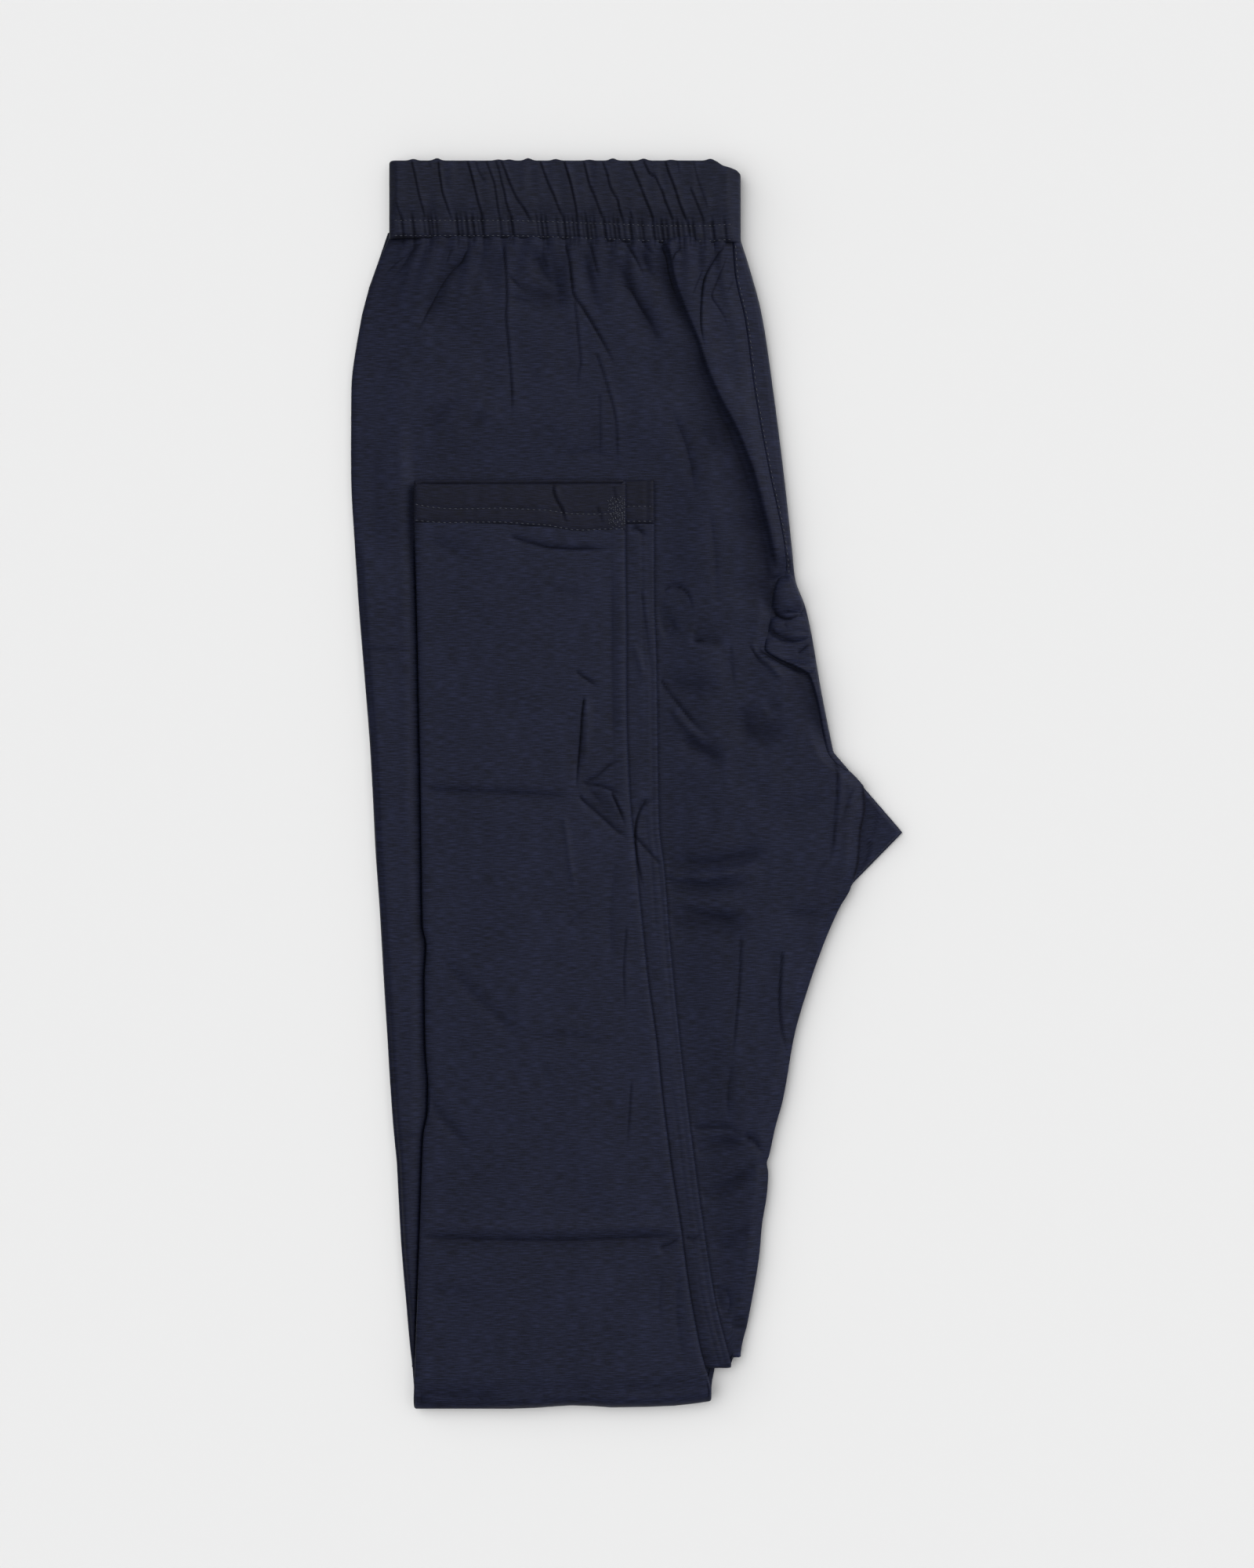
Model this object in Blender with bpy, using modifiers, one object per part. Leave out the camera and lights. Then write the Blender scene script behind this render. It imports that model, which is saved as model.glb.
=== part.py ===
"""Leggings, folded flat: leg on leg, then both legs turned up at the knee, with a gathered waist casing.

The frame is +X to the right, +Y towards the waist and +Z up, with the origin under the middle of the
bundle. Sizes here are in millimetres and become metres when a mesh is made.
"""

import math
from collections import namedtuple

import bmesh
import bpy
import numpy as np
from mathutils import Vector

MM = 0.001

# Cloth
WALL = 1.2
SEAM_GAP = 0.3
CURL = 1.8
CURL_STEPS = 3
SMALL_CURL = 0.4

# The hidden layers stop short of the cloth that wraps them, and part in a groove at their edges
LAYER_INSET = 2.1
STEEP_INSET = 2.8
LAYER_BEVEL = 0.8
LAYER_GROOVE = 0.6

# Heights of the middle of each visible wall above the surface it lies on
FLOOR_Z = WALL / 2
FRONT_Z = 4.8
EDGE_Z = 5.1
LEFT_SHIN_Z = 7.6
RIGHT_SHIN_Z = 10.6

# Heights of the middle of each cuff's lower and upper layer
RIGHT_HEM = (9.1, RIGHT_SHIN_Z)
LEFT_HEM = (6.25, 7.65)
LEFT_HEM_WALL = 1.1
HEM_PUFF = 0.6

# Heights of the faces of the hidden layers, under the front and under the right shin
HIDDEN_LOW = (1.5, 3.9)
HIDDEN_HIGH = (8.5, 9.7)

# Places along the length
BAND_TOP = 274.5
BAND_LOW = 240.0
LEG_TOP = BAND_LOW - 1.6 * SEAM_GAP
CUFF_TOP = 134.0
CUFF_LOW = 112.3
SHIN_TOP = CUFF_LOW - SEAM_GAP
RIGHT_FOLD = -274.8
LEFT_FOLD = -256.8

# Waist casing: cloth, elastic and cloth in each of its four flat layers
BAND_LEFT = -104.2
BAND_RIGHT = 50.4
BAND_WALL = 2.5
BAND_PITCH = BAND_WALL + SEAM_GAP
RUCHE_TOP = 247.3
PLEAT_COLUMNS = 6
PLEAT_HEIGHT = 0.9
RUCHE_HEIGHT = 0.45

# Crotch fork of the under layers
FORK_X = 121.8
FORK_Y = -21.2
FORK_SLOPE_ABOVE = 0.864
FORK_SLOPE_BELOW = 0.98
FORK_YS = [14.0, FORK_Y, -44.0]

Outline = namedtuple("Outline", "y left right")
Edge = namedtuple("Edge", "y right")
Fold = namedtuple("Fold", "x0 y0 x1 y1 bow left right height")
Pleat = namedtuple("Pleat", "top low")
Lump = namedtuple("Lump", "x y reach_x reach_y height")
Station = namedtuple("Station", "y z out_y out_z high")

# The four body layers, without the fork
BODY = [
    Outline(240.0, -105.2, 50.4),
    Outline(228.0, -110.4, 54.2),
    Outline(207.2, -116.6, 59.7),
    Outline(172.7, -121.2, 64.9),
    Outline(138.2, -121.4, 69.3),
    Outline(103.7, -119.7, 73.1),
    Outline(91.0, -118.8, 74.4),
    Outline(78.0, -118.0, 79.0),
    Outline(69.2, -117.3, 81.1),
    Outline(41.6, -115.0, 85.9),
    Outline(14.0, -112.9, 91.4),
    Outline(-12.0, -111.5, 97.0),
    Outline(-30.0, -110.6, 100.0),
    Outline(-44.0, -109.6, 99.0),
    Outline(-55.0, -108.8, 93.6),
    Outline(-68.8, -108.0, 87.6),
    Outline(-89.5, -106.8, 80.2),
    Outline(-110.2, -105.5, 74.2),
    Outline(-137.8, -103.8, 69.3),
    Outline(-152.0, -102.6, 65.5),
    Outline(-165.4, -101.3, 62.8),
    Outline(-206.8, -99.0, 58.7),
    Outline(-241.3, -95.9, 52.8),
    Outline(-254.8, -94.6, 50.5),
]

# The floor layer narrows to the right shin's width as it reaches the fold
FLOOR_END = [
    Outline(-246.0, -95.4, 51.4),
    Outline(-252.5, -94.8, 42.5),
    Outline(-258.6, -94.2, 39.0),
    Outline(-269.2, -93.4, 37.6),
]

# The right leg's shin, the top of the bundle
RIGHT_SHIN = [
    Outline(134.0, -93.5, 0.3),
    Outline(103.7, -92.8, -0.2),
    Outline(69.2, -91.8, 0.2),
    Outline(34.7, -91.1, 0.3),
    Outline(0.2, -90.4, 1.4),
    Outline(-34.3, -89.9, 4.5),
    Outline(-61.9, -89.4, 7.2),
    Outline(-70.6, -87.8, 8.1),
    Outline(-86.1, -88.6, 9.7),
    Outline(-113.7, -88.2, 13.5),
    Outline(-139.6, -86.6, 16.2),
    Outline(-155.1, -89.2, 18.2),
    Outline(-168.9, -89.8, 20.0),
    Outline(-193.0, -90.6, 23.8),
    Outline(-220.6, -91.6, 27.5),
    Outline(-241.3, -92.4, 31.2),
    Outline(-269.2, -93.4, 37.4),
]

# The left leg's shin, which shows as a strip along the right of the one above
LEFT_SHIN = [
    Outline(134.0, -92.3, 12.4),
    Outline(86.4, -91.0, 12.4),
    Outline(51.9, -90.2, 13.5),
    Outline(-17.1, -89.2, 14.5),
    Outline(-37.8, -88.8, 16.9),
    Outline(-68.8, -87.0, 19.3),
    Outline(-120.6, -87.0, 24.5),
    Outline(-148.2, -87.6, 27.9),
    Outline(-182.7, -89.0, 32.4),
    Outline(-206.8, -90.2, 35.9),
    Outline(-227.5, -90.8, 39.3),
    Outline(-254.8, -92.0, 46.2),
]

# The centre seam and, below it, the line where the left front ends on the right
CENTRE_SEAM = [
    Edge(240.0, 46.5),
    Edge(224.4, 47.6),
    Edge(203.7, 52.1),
    Edge(172.7, 56.2),
    Edge(138.2, 62.4),
    Edge(103.7, 69.3),
    Edge(91.6, 70.4),
    Edge(86.0, 66.6),
    Edge(74.5, 64.2),
    Edge(66.0, 64.5),
    Edge(56.5, 69.0),
    Edge(49.0, 79.7),
    Edge(34.7, 84.4),
    Edge(14.4, 88.6),
]

# The end of the left front over the fork, below the centre seam
FORK_LINE = [
    Edge(-1.6, 104.9),
    Edge(-10.2, 104.9),
    Edge(-20.5, 103.2),
    Edge(-34.3, 102.1),
    Edge(-43.0, 99.8),
]

# Where the casing's gathers leave its lower edge, from left to right
GATHERS = [-99.0, -92.8, -86.6, -78.3, -68.7, -61.8, -53.8, -45.2, -35.9, -26.6]
GATHERS += [-16.2, -7.2, 0.3, 7.9, 15.9, 23.8, 31.4, 38.3, 45.2]
GATHER_HEIGHT = 1.6
GATHER_REACH = 42.0
BAND_PUFF = 2.4
BAND_PUFF_REACH = 58.0
BODY_PUFF = 0.9
SHIN_PUFF = 0.7

# The casing's slanting pleats, each a valley from its top edge to its stitching
PLEATS = [
    Pleat(-94.2, -87.6),
    Pleat(-82.5, -76.6),
    Pleat(-69.7, -63.5),
    Pleat(-65.9, -60.4),
    Pleat(-61.1, -55.9),
    Pleat(-57.3, -52.1),
    Pleat(-54.9, -41.7),
    Pleat(-37.6, -27.6),
    Pleat(-26.9, -22.1),
    Pleat(-18.3, -10.7),
    Pleat(-10.0, -0.7),
    Pleat(2.4, 12.8),
    Pleat(9.3, 21.0),
    Pleat(17.6, 26.6),
    Pleat(25.2, 34.8),
    Pleat(36.6, 42.5),
]

# The largest folds of the left front, each drawn from its upper end; troughs have a negative height
FRONT_FOLDS = [
    Fold(23.8, 233.0, 71.5, 88.0, 1.5, 2.4, 8.0, 2.4),
    Fold(17.0, 226.0, 64.2, 90.6, 1.5, 4.0, 2.6, -1.6),
    Fold(15.9, 235.5, 32.4, 170.0, -2.0, 3.0, 3.0, -1.4),
    Fold(43.5, 236.5, 33.5, 190.0, -2.5, 3.0, 3.0, -1.0),
    Fold(-53.8, 238.2, -50.4, 158.9, 1.0, 3.5, 3.5, -0.9),
    Fold(-26.6, 238.2, -22.1, 172.7, 1.0, 3.5, 3.5, -0.9),
    Fold(-15.2, 205.4, -1.0, 178.0, 0.0, 3.0, 3.0, -0.9),
    Fold(-68.7, 236.5, -93.5, 190.0, 2.0, 3.5, 3.5, -0.9),
    Fold(10.0, 175.0, 33.0, 124.0, 2.0, 5.0, 5.0, 0.9),
    Fold(17.6, 88.1, 29.7, 74.3, 3.0, 3.0, 3.0, 0.9),
    Fold(13.5, 46.7, 45.2, 19.1, -3.0, 3.0, 3.0, -1.0),
    Fold(18.3, 51.2, 50.0, 26.0, -3.0, 3.0, 4.0, 0.8),
    Fold(48.6, 64.0, 69.3, 41.6, 0.0, 4.0, 4.0, 0.8),
    Fold(60.7, 60.5, 88.0, 17.0, 5.0, 4.0, 4.0, -1.3),
    Fold(17.6, -36.1, 60.7, -30.9, -1.5, 4.0, 4.0, -0.7),
    Fold(19.3, -56.8, 52.1, -60.2, -1.5, 4.0, 4.0, -0.7),
    Fold(91.8, 14.0, 90.0, -32.6, 2.0, 3.0, 3.0, -0.9),
    Fold(50.4, -68.8, 44.5, -137.8, 0.0, 3.5, 3.5, -0.7),
    Fold(27.9, -151.6, 59.0, -163.7, 0.0, 3.0, 3.0, -0.8),
    Fold(31.4, -182.7, 60.7, -166.1, 0.0, 3.0, 3.0, -0.8),
]

# The largest folds of the right shin
SHIN_FOLDS = [
    Fold(-51.4, 107.0, -6.6, 101.5, -1.5, 3.5, 3.5, -0.7),
    Fold(-91.1, -2.2, -22.1, -6.0, 0.0, 4.0, 4.0, -0.6),
    Fold(-20.4, 38.0, -22.0, -6.0, -1.0, 3.0, 3.0, -0.6),
    Fold(-20.4, -6.0, 1.4, -23.3, 0.0, 3.5, 3.5, -0.7),
    Fold(-82.5, -74.0, -44.5, -113.7, 0.0, 4.0, 4.0, -0.6),
    Fold(-87.6, -137.8, -66.9, -162.0, 0.0, 3.0, 3.0, -0.6),
    Fold(-90.4, -198.9, 24.5, -198.9, 0.0, 3.5, 3.5, -0.7),
]

# The bunched end of the centre seam, as two soft lumps on the front edge
LUMPS = [Lump(71.6, 82.0, 7.0, 9.0, 3.4), Lump(75.0, 67.5, 6.5, 6.5, 2.2)]

NAVY = (0.0137, 0.0159, 0.0262, 1.0)
NAVY_INSIDE = (0.0116, 0.0135, 0.0222, 1.0)


def clear_scene():
    """Remove whatever the file holds, so that the script can be run again."""
    for obj in list(bpy.data.objects):
        bpy.data.objects.remove(obj, do_unlink=True)


def new_collection(name):
    collection = bpy.data.collections.new(name)
    bpy.context.scene.collection.children.link(collection)
    return collection


def cloth_material(name, colour, roughness):
    material = bpy.data.materials.new(name)
    material.use_nodes = True
    shader = material.node_tree.nodes["Principled BSDF"]
    shader.inputs["Base Color"].default_value = colour
    shader.inputs["Roughness"].default_value = roughness
    shader.inputs["Metallic"].default_value = 0.0
    return material


def smooth(value):
    """0 below 0, 1 above 1 and an S between."""
    value = min(max(value, 0.0), 1.0)
    return value * value * (3.0 - 2.0 * value)


def read_outline(table, column, y):
    """A column of an outline at y, on a curve through its rows that doesn't overshoot them."""
    rows = sorted(table)
    ys = [row.y for row in rows]
    values = [getattr(row, column) for row in rows]
    if y <= ys[0]:
        return values[0]
    if y >= ys[-1]:
        return values[-1]
    index = int(np.searchsorted(ys, y, side="right")) - 1
    index = min(index, len(ys) - 2)
    slopes = [(values[i + 1] - values[i]) / (ys[i + 1] - ys[i]) for i in range(len(ys) - 1)]

    def tangent(i):
        if i == 0:
            return slopes[0]
        if i == len(ys) - 1:
            return slopes[-1]
        before, after = slopes[i - 1], slopes[i]
        if before * after <= 0.0:
            return 0.0
        return 2.0 * before * after / (before + after)

    span = ys[index + 1] - ys[index]
    t = (y - ys[index]) / span
    start = values[index] * (1 + 2 * t) * (1 - t) ** 2 + tangent(index) * span * t * (1 - t) ** 2
    end = values[index + 1] * t * t * (3 - 2 * t) + tangent(index + 1) * span * t * t * (t - 1)
    return start + end


def fork_edge(y):
    """The fork's straight sides, which meet at its tip."""
    slope = FORK_SLOPE_ABOVE if y > FORK_Y else FORK_SLOPE_BELOW
    return FORK_X - slope * abs(y - FORK_Y)


def body_left(y):
    return read_outline(BODY, "left", y)


def body_right(y):
    return max(read_outline(BODY, "right", y), fork_edge(y))


def floor_edges(y):
    if y > FLOOR_END[0].y:
        return body_left(y), body_right(y)
    return read_outline(FLOOR_END, "left", y), read_outline(FLOOR_END, "right", y)


def front_edges(y):
    """The left front's edges: the side fold, and the centre seam or the line over the fork."""
    if y >= CENTRE_SEAM[-1].y:
        right = read_outline(CENTRE_SEAM, "right", y)
        slope = read_outline(CENTRE_SEAM, "right", y + 0.5)
        slope -= read_outline(CENTRE_SEAM, "right", y - 0.5)
        right -= 1.6 * SEAM_GAP * math.hypot(1.0, slope)
    elif y > FORK_LINE[0].y:
        right = fork_edge(y)
    elif y > FORK_LINE[-1].y:
        right = read_outline(FORK_LINE, "right", y)
    else:
        right = read_outline(BODY, "right", y)
    return body_left(y), right


def shin_edges(table, y):
    return read_outline(table, "left", y), read_outline(table, "right", y)


def fold_height(fold, x, y):
    """Height of one fold at a point: a rounded ridge, or a trough, that dies out at both ends."""
    run_x = fold.x1 - fold.x0
    run_y = fold.y1 - fold.y0
    length = math.hypot(run_x, run_y)
    along = ((x - fold.x0) * run_x + (y - fold.y0) * run_y) / length**2
    if along < -0.05 or along > 1.05:
        return 0.0
    side = ((y - fold.y0) * run_x - (x - fold.x0) * run_y) / length
    side -= fold.bow * 4.0 * along * (1.0 - along)
    reach = fold.left if side < 0.0 else fold.right
    ends = smooth((along + 0.05) / 0.2) * smooth((1.05 - along) / 0.2)
    return fold.height * ends * math.exp(-((side / reach) ** 2))


def gather_share(x, left, right):
    """How far across the front a point lies, as the place at the casing that it hangs from."""
    return BODY[0].left + (x - left) / (right - left) * (CENTRE_SEAM[0].right - BODY[0].left)


def gather_height(x, y, left, right):
    """The gathers below the casing: a valley at each place in GATHERS and a ridge between two."""
    count = np.interp(gather_share(x, left, right), GATHERS, range(len(GATHERS)))
    wave = 0.5 - 0.5 * math.cos(2.0 * math.pi * count)
    near = smooth((y - BAND_LOW + GATHER_REACH) / GATHER_REACH)
    return GATHER_HEIGHT * near * wave


def front_relief(x, y):
    """How far the left front stands above its flat height. It is flat where the shins lie on it."""
    left, right = front_edges(y)
    shin_left = read_outline(LEFT_SHIN, "left", y)
    shin_right = read_outline(LEFT_SHIN, "right", y)
    clear = max(x - shin_right - 2.0, shin_left - 4.0 - x, y - CUFF_TOP - 3.0)
    mask = smooth(clear / 9.0) * smooth((x - left) / 9.0) * smooth((right - x) / 7.0)
    puff = BAND_PUFF * smooth((y - BAND_LOW + BAND_PUFF_REACH) / BAND_PUFF_REACH)
    height = BODY_PUFF + puff + gather_height(x, y, left, right)
    height += sum(fold_height(fold, x, y) for fold in FRONT_FOLDS)
    return max(height, 0.0) * mask


def shin_relief(x, y):
    """How far the right shin stands above its flat height."""
    left, right = shin_edges(RIGHT_SHIN, y)
    mask = smooth((x - left) / 7.0) * smooth((right - x) / 7.0)
    height = SHIN_PUFF + sum(fold_height(fold, x, y) for fold in SHIN_FOLDS)
    return max(height, 0.0) * mask


def edge_relief(x, y):
    """The bunched lumps on the front edge."""
    height = 0.0
    for lump in LUMPS:
        distance = ((x - lump.x) / lump.reach_x) ** 2 + ((y - lump.y) / lump.reach_y) ** 2
        height = max(height, lump.height * smooth(1.35 - distance))
    return height


def across(left, right, left_curl, right_curl, shares):
    """Places across a wall as (x, drop): a quarter turn down at each side that curls, flat between."""
    turns = [0.5 * math.pi * step / CURL_STEPS for step in range(CURL_STEPS)]
    turned = [(1.0 - math.cos(turn), 1.0 - math.sin(turn)) for turn in turns]
    start, end = left + left_curl, right - right_curl
    places = []
    if left_curl:
        places += [(left + left_curl * inward, left_curl * down) for inward, down in turned]
    places += [(start + share * (end - start), 0.0) for share in shares]
    if right_curl:
        places += [(right - right_curl * inward, right_curl * down) for inward, down in turned[::-1]]
    return places


def folded_path(low_ys, low_z, high_z, fold_y, fold_steps, high_ys):
    """Stations along a leg: down its lower stretch, round the fold and back up its upper one."""
    radius = (high_z - low_z) / 2.0
    centre_y = fold_y + radius + WALL / 2.0
    centre_z = (high_z + low_z) / 2.0
    path = [Station(y, low_z, 0.0, -1.0, 0.0) for y in sorted(low_ys, reverse=True) if y > centre_y]
    for step in range(fold_steps + 1):
        turn = math.pi * (step / fold_steps - 0.5)
        out_y, out_z = -math.cos(turn), math.sin(turn)
        high = 0.5 + 0.5 * out_z
        path.append(Station(centre_y + radius * out_y, centre_z + radius * out_z, out_y, out_z, high))
    path += [Station(y, high_z, 0.0, 1.0, 1.0) for y in sorted(high_ys) if y > centre_y]
    return path


def sheet_object(name, rows, wall, material, collection, closed=False):
    """A grid through rows of points, one row for each station, given its thickness by Solidify."""
    columns = len(rows[0])
    mesh = bpy.data.meshes.new(name)
    bm = bmesh.new()
    bmesh.ops.create_grid(bm, x_segments=columns - 1, y_segments=len(rows) - 1, size=1.0)
    for vert in bm.verts:
        i = round((vert.co.x + 1.0) / 2.0 * (columns - 1))
        j = round((vert.co.y + 1.0) / 2.0 * (len(rows) - 1))
        vert.co = Vector(rows[j][i]) * MM
    if closed:
        bmesh.ops.remove_doubles(bm, verts=bm.verts, dist=1e-7)
    bm.to_mesh(mesh)
    bm.free()
    mesh.materials.append(material)
    mesh.shade_smooth()
    obj = bpy.data.objects.new(name, mesh)
    collection.objects.link(obj)
    solidify = obj.modifiers.new("Wall", "SOLIDIFY")
    solidify.thickness = wall * MM
    solidify.offset = 0.0
    return obj


def spread(low, high, pitch):
    """Evenly spaced places from low to high, about a pitch apart."""
    return list(np.linspace(low, high, max(2, round((high - low) / pitch) + 1)))


def merged(*lists, apart=2.5):
    """Several lists of places as one, earlier lists first, leaving out those that crowd another."""
    kept = []
    for places in lists:
        for place in places:
            if all(abs(place - other) >= apart for other in kept):
                kept.append(place)
    return sorted(kept)


def make_right_leg(material, collection):
    """The right leg: flat on the surface, round the bottom fold and up again as the top shin."""
    low_ys = merged([LEG_TOP], FORK_YS, [row.y for row in BODY], [row.y for row in FLOOR_END])
    shin_rows = [row.y for row in RIGHT_SHIN if row.y < SHIN_TOP - 3]
    high_ys = merged([SHIN_TOP], shin_rows, spread(-262.0, SHIN_TOP, 12.0), apart=3.5)
    shares = np.linspace(0.0, 1.0, 20)
    rows = []
    for station in folded_path(low_ys, FLOOR_Z, RIGHT_SHIN_Z, RIGHT_FOLD, 10, high_ys):
        low = floor_edges(station.y)
        high = shin_edges(RIGHT_SHIN, station.y)
        left = low[0] + (high[0] - low[0]) * station.high + WALL / 2
        right = low[1] + (high[1] - low[1]) * station.high - WALL / 2
        row = []
        for x, drop in across(left, right, CURL, CURL, shares):
            lift = shin_relief(x, station.y) * smooth(2.0 * station.high - 1.0)
            y = station.y - drop * station.out_y
            row.append((x, y, station.z - drop * station.out_z + lift))
        rows.append(row)
    sheet_object("leg_right", rows, WALL, material, collection)


def seam_ys():
    """Rows from the casing to the end of the centre seam, which both sides of that seam share."""
    gather_ys = [LEG_TOP, 236.0, 231.0, 225.0, 217.0]
    keys = [row.y for row in CENTRE_SEAM[1:]]
    return merged(gather_ys, keys, spread(20.0, 215.0, 13.0), apart=4.4)


def make_left_leg(material, collection):
    """The left leg: the front that shows, folded inside the right leg's fold, and its shin."""
    under_seam = [CENTRE_SEAM[-1].y - 0.5] + [row.y for row in FORK_LINE]
    leg_rows = [row.y for row in BODY if row.y < FORK_LINE[-1].y]
    low_ys = seam_ys() + merged(under_seam, leg_rows, spread(-247.0, 5.0, 13.0), apart=4.4)
    high_ys = merged([SHIN_TOP], [row.y for row in LEFT_SHIN if row.y < SHIN_TOP - 5])
    waist = CENTRE_SEAM[0].right - BODY[0].left
    valleys = [(x - BODY[0].left) / waist for x in GATHERS]
    ridges = [(a + b) / 2.0 for a, b in zip(valleys, valleys[1:])]
    shares = [0.0] + sorted(valleys + ridges) + [1.0]
    rows = []
    for station in folded_path(low_ys, FRONT_Z, LEFT_SHIN_Z, LEFT_FOLD, 6, high_ys):
        low = front_edges(station.y)
        high = shin_edges(LEFT_SHIN, station.y)
        left = low[0] + (high[0] - low[0]) * station.high + WALL / 2
        right = low[1] + (high[1] - low[1]) * station.high - WALL / 2
        flat_edge = smooth((station.y + 58.0) / 12.0) * (1.0 - station.high)
        right_curl = CURL + (SMALL_CURL - CURL) * flat_edge
        row = []
        for x, drop in across(left, right, CURL, right_curl, shares):
            lift = front_relief(x, station.y) if station.high == 0.0 else 0.0
            row.append((x, station.y, station.z - drop * abs(station.out_z) + lift))
        rows.append(row)
    sheet_object("leg_left", rows, WALL, material, collection)


def make_front_edge(material, collection):
    """The right leg's front where it rolls over the edge, from the casing to the fork."""
    shared = seam_ys()
    seam = [read_outline(CENTRE_SEAM, "right", y) for y in shared]
    end = CENTRE_SEAM[-1].y + 3.0 * SEAM_GAP
    rows = []
    for y in [end] + merged(shared[1:], spread(20.0, 234.0, 9.0), apart=3.0):
        left = np.interp(y, shared, seam)
        right = body_right(y) - WALL / 2
        curl = min(CURL, 0.45 * (right - left))
        row = []
        for x, drop in across(left, right, 0.0, curl, np.linspace(0.0, 1.0, 7)):
            row.append((x, y, EDGE_Z - drop + edge_relief(x, y)))
        rows.append(row)
    sheet_object("front_edge", rows, WALL, material, collection)


def hidden_station(outer, inner, edges):
    """One closed section of the hidden layers: two walls that lie together and part at their edges."""
    apart = Vector((inner[0] - outer[0], inner[1] - outer[1]))
    middle_y, middle_z = outer[0] + apart.x / 2.0, outer[1] + apart.y / 2.0
    middle_left, middle_right = edges(middle_y)
    section = [(middle_left + LAYER_GROOVE, middle_y, middle_z)]
    for (y, z), sign in ((outer, 1.0), (inner, -1.0)):
        left, right = edges(y)
        toward = apart.normalized() * sign * LAYER_BEVEL * 0.6
        start, end = left + LAYER_BEVEL, right - LAYER_BEVEL
        side = [(left, y + toward.x, z + toward.y)]
        side += [(start + (end - start) * share, y, z) for share in (0.0, 0.33, 0.67, 1.0)]
        side += [(right, y + toward.x, z + toward.y)]
        if sign > 0.0:
            section += side + [(middle_right - LAYER_GROOVE, middle_y, middle_z)]
        else:
            section += side[::-1]
    return section


def make_hidden_layers(material, collection):
    """The layers that the fold hides, as one rounded solid with its edges inside the ones that show."""
    inner_y = LEFT_FOLD - SEAM_GAP
    radius = (HIDDEN_HIGH[1] - HIDDEN_LOW[0]) / 2.0
    centre_y = RIGHT_FOLD + WALL + SEAM_GAP + radius
    centre_z = (HIDDEN_HIGH[1] + HIDDEN_LOW[0]) / 2.0
    low_ys = merged([LEG_TOP, inner_y, -252.5], FORK_YS, [row.y for row in BODY if row.y > -248])
    shin_rows = [row.y for row in RIGHT_SHIN if -250 < row.y < SHIN_TOP - 3]
    high_ys = merged([inner_y, SHIN_TOP], shin_rows)

    def body_edges(y):
        low = floor_edges(y)
        beside_fork = -70.0 < y < 16.0
        inset = STEEP_INSET if beside_fork or y < FLOOR_END[0].y else LAYER_INSET
        return low[0] + LAYER_INSET, low[1] - inset

    def shin_layer_edges(y):
        high = shin_edges(RIGHT_SHIN, y)
        return high[0] + LAYER_INSET, high[1] - LAYER_INSET

    sections = []
    for y in sorted(low_ys, reverse=True):
        sections.append(hidden_station((y, HIDDEN_LOW[0]), (y, HIDDEN_LOW[1]), body_edges))
    outers = [(centre_y, HIDDEN_LOW[0])]
    steps = 8
    for step in range(1, steps):
        turn = math.pi * (step / steps - 0.5)
        outers.append((centre_y - radius * math.cos(turn), centre_z + radius * math.sin(turn)))
    outers.append((centre_y, HIDDEN_HIGH[1]))
    for count, outer in enumerate(outers, 1):
        share = count / (len(outers) + 1)
        inner_z = HIDDEN_LOW[1] + (HIDDEN_HIGH[0] - HIDDEN_LOW[1]) * share
        sections.append(hidden_station(outer, (inner_y, inner_z), shin_layer_edges))
    for y in sorted(high_ys):
        sections.append(hidden_station((y, HIDDEN_HIGH[1]), (y, HIDDEN_HIGH[0]), shin_layer_edges))

    mesh = bpy.data.meshes.new("hidden_layers")
    bm = bmesh.new()
    rings = [[bm.verts.new(Vector(point) * MM) for point in section] for section in sections]
    for ring, following in zip(rings, rings[1:]):
        for k in range(len(ring)):
            after = (k + 1) % len(ring)
            bm.faces.new((ring[k], ring[after], following[after], following[k]))
    bm.faces.new(rings[0][::-1])
    bm.faces.new(rings[-1])
    bmesh.ops.recalc_face_normals(bm, faces=bm.faces)
    bm.to_mesh(mesh)
    bm.free()
    mesh.materials.append(material)
    collection.objects.link(bpy.data.objects.new("hidden_layers", mesh))


def arc(centre_x, centre_z, radius, start, end, steps):
    """Places on an arc from one angle to another, in degrees, without its last one."""
    places = []
    for step in range(steps):
        turn = math.radians(start + (end - start) * step / steps)
        places.append((centre_x + radius * math.cos(turn), centre_z + radius * math.sin(turn)))
    return places


def line(start_x, end_x, z, steps):
    """Places on a level line from one x to another, without its last one."""
    return [(start_x + (end_x - start_x) * step / steps, z) for step in range(steps)]


def make_hem(name, table, heights, wall, puff, material, collection):
    """A cuff: a flat ring of turned cloth, open at its end, whose upper layer may stand up a little."""
    low_z, high_z = heights
    radius = (high_z - low_z) / 2.0
    middle = (high_z + low_z) / 2.0
    rows = []
    for y in (CUFF_TOP, CUFF_TOP - 3.0, 123.0, 117.0, CUFF_LOW):
        left, right = shin_edges(table, y)
        left += wall / 2 + radius
        right -= wall / 2 + radius
        loop = line(left, right, high_z, 14) + arc(right, middle, radius, 90, -90, 5)
        loop += line(right, left, low_z, 8) + arc(left, middle, radius, -90, -270, 5)
        lift = puff * (0.15 + 0.85 * smooth((CUFF_TOP - y) / 8.0))
        row = []
        for x, z in loop + loop[:1]:
            rise = smooth((x - left) / 7.0) * smooth((right - x) / 7.0) if z == high_z else 0.0
            row.append((x, y, z + lift * rise))
        rows.append(row)
    sheet_object(name, rows, wall, material, collection, closed=True)


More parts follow.
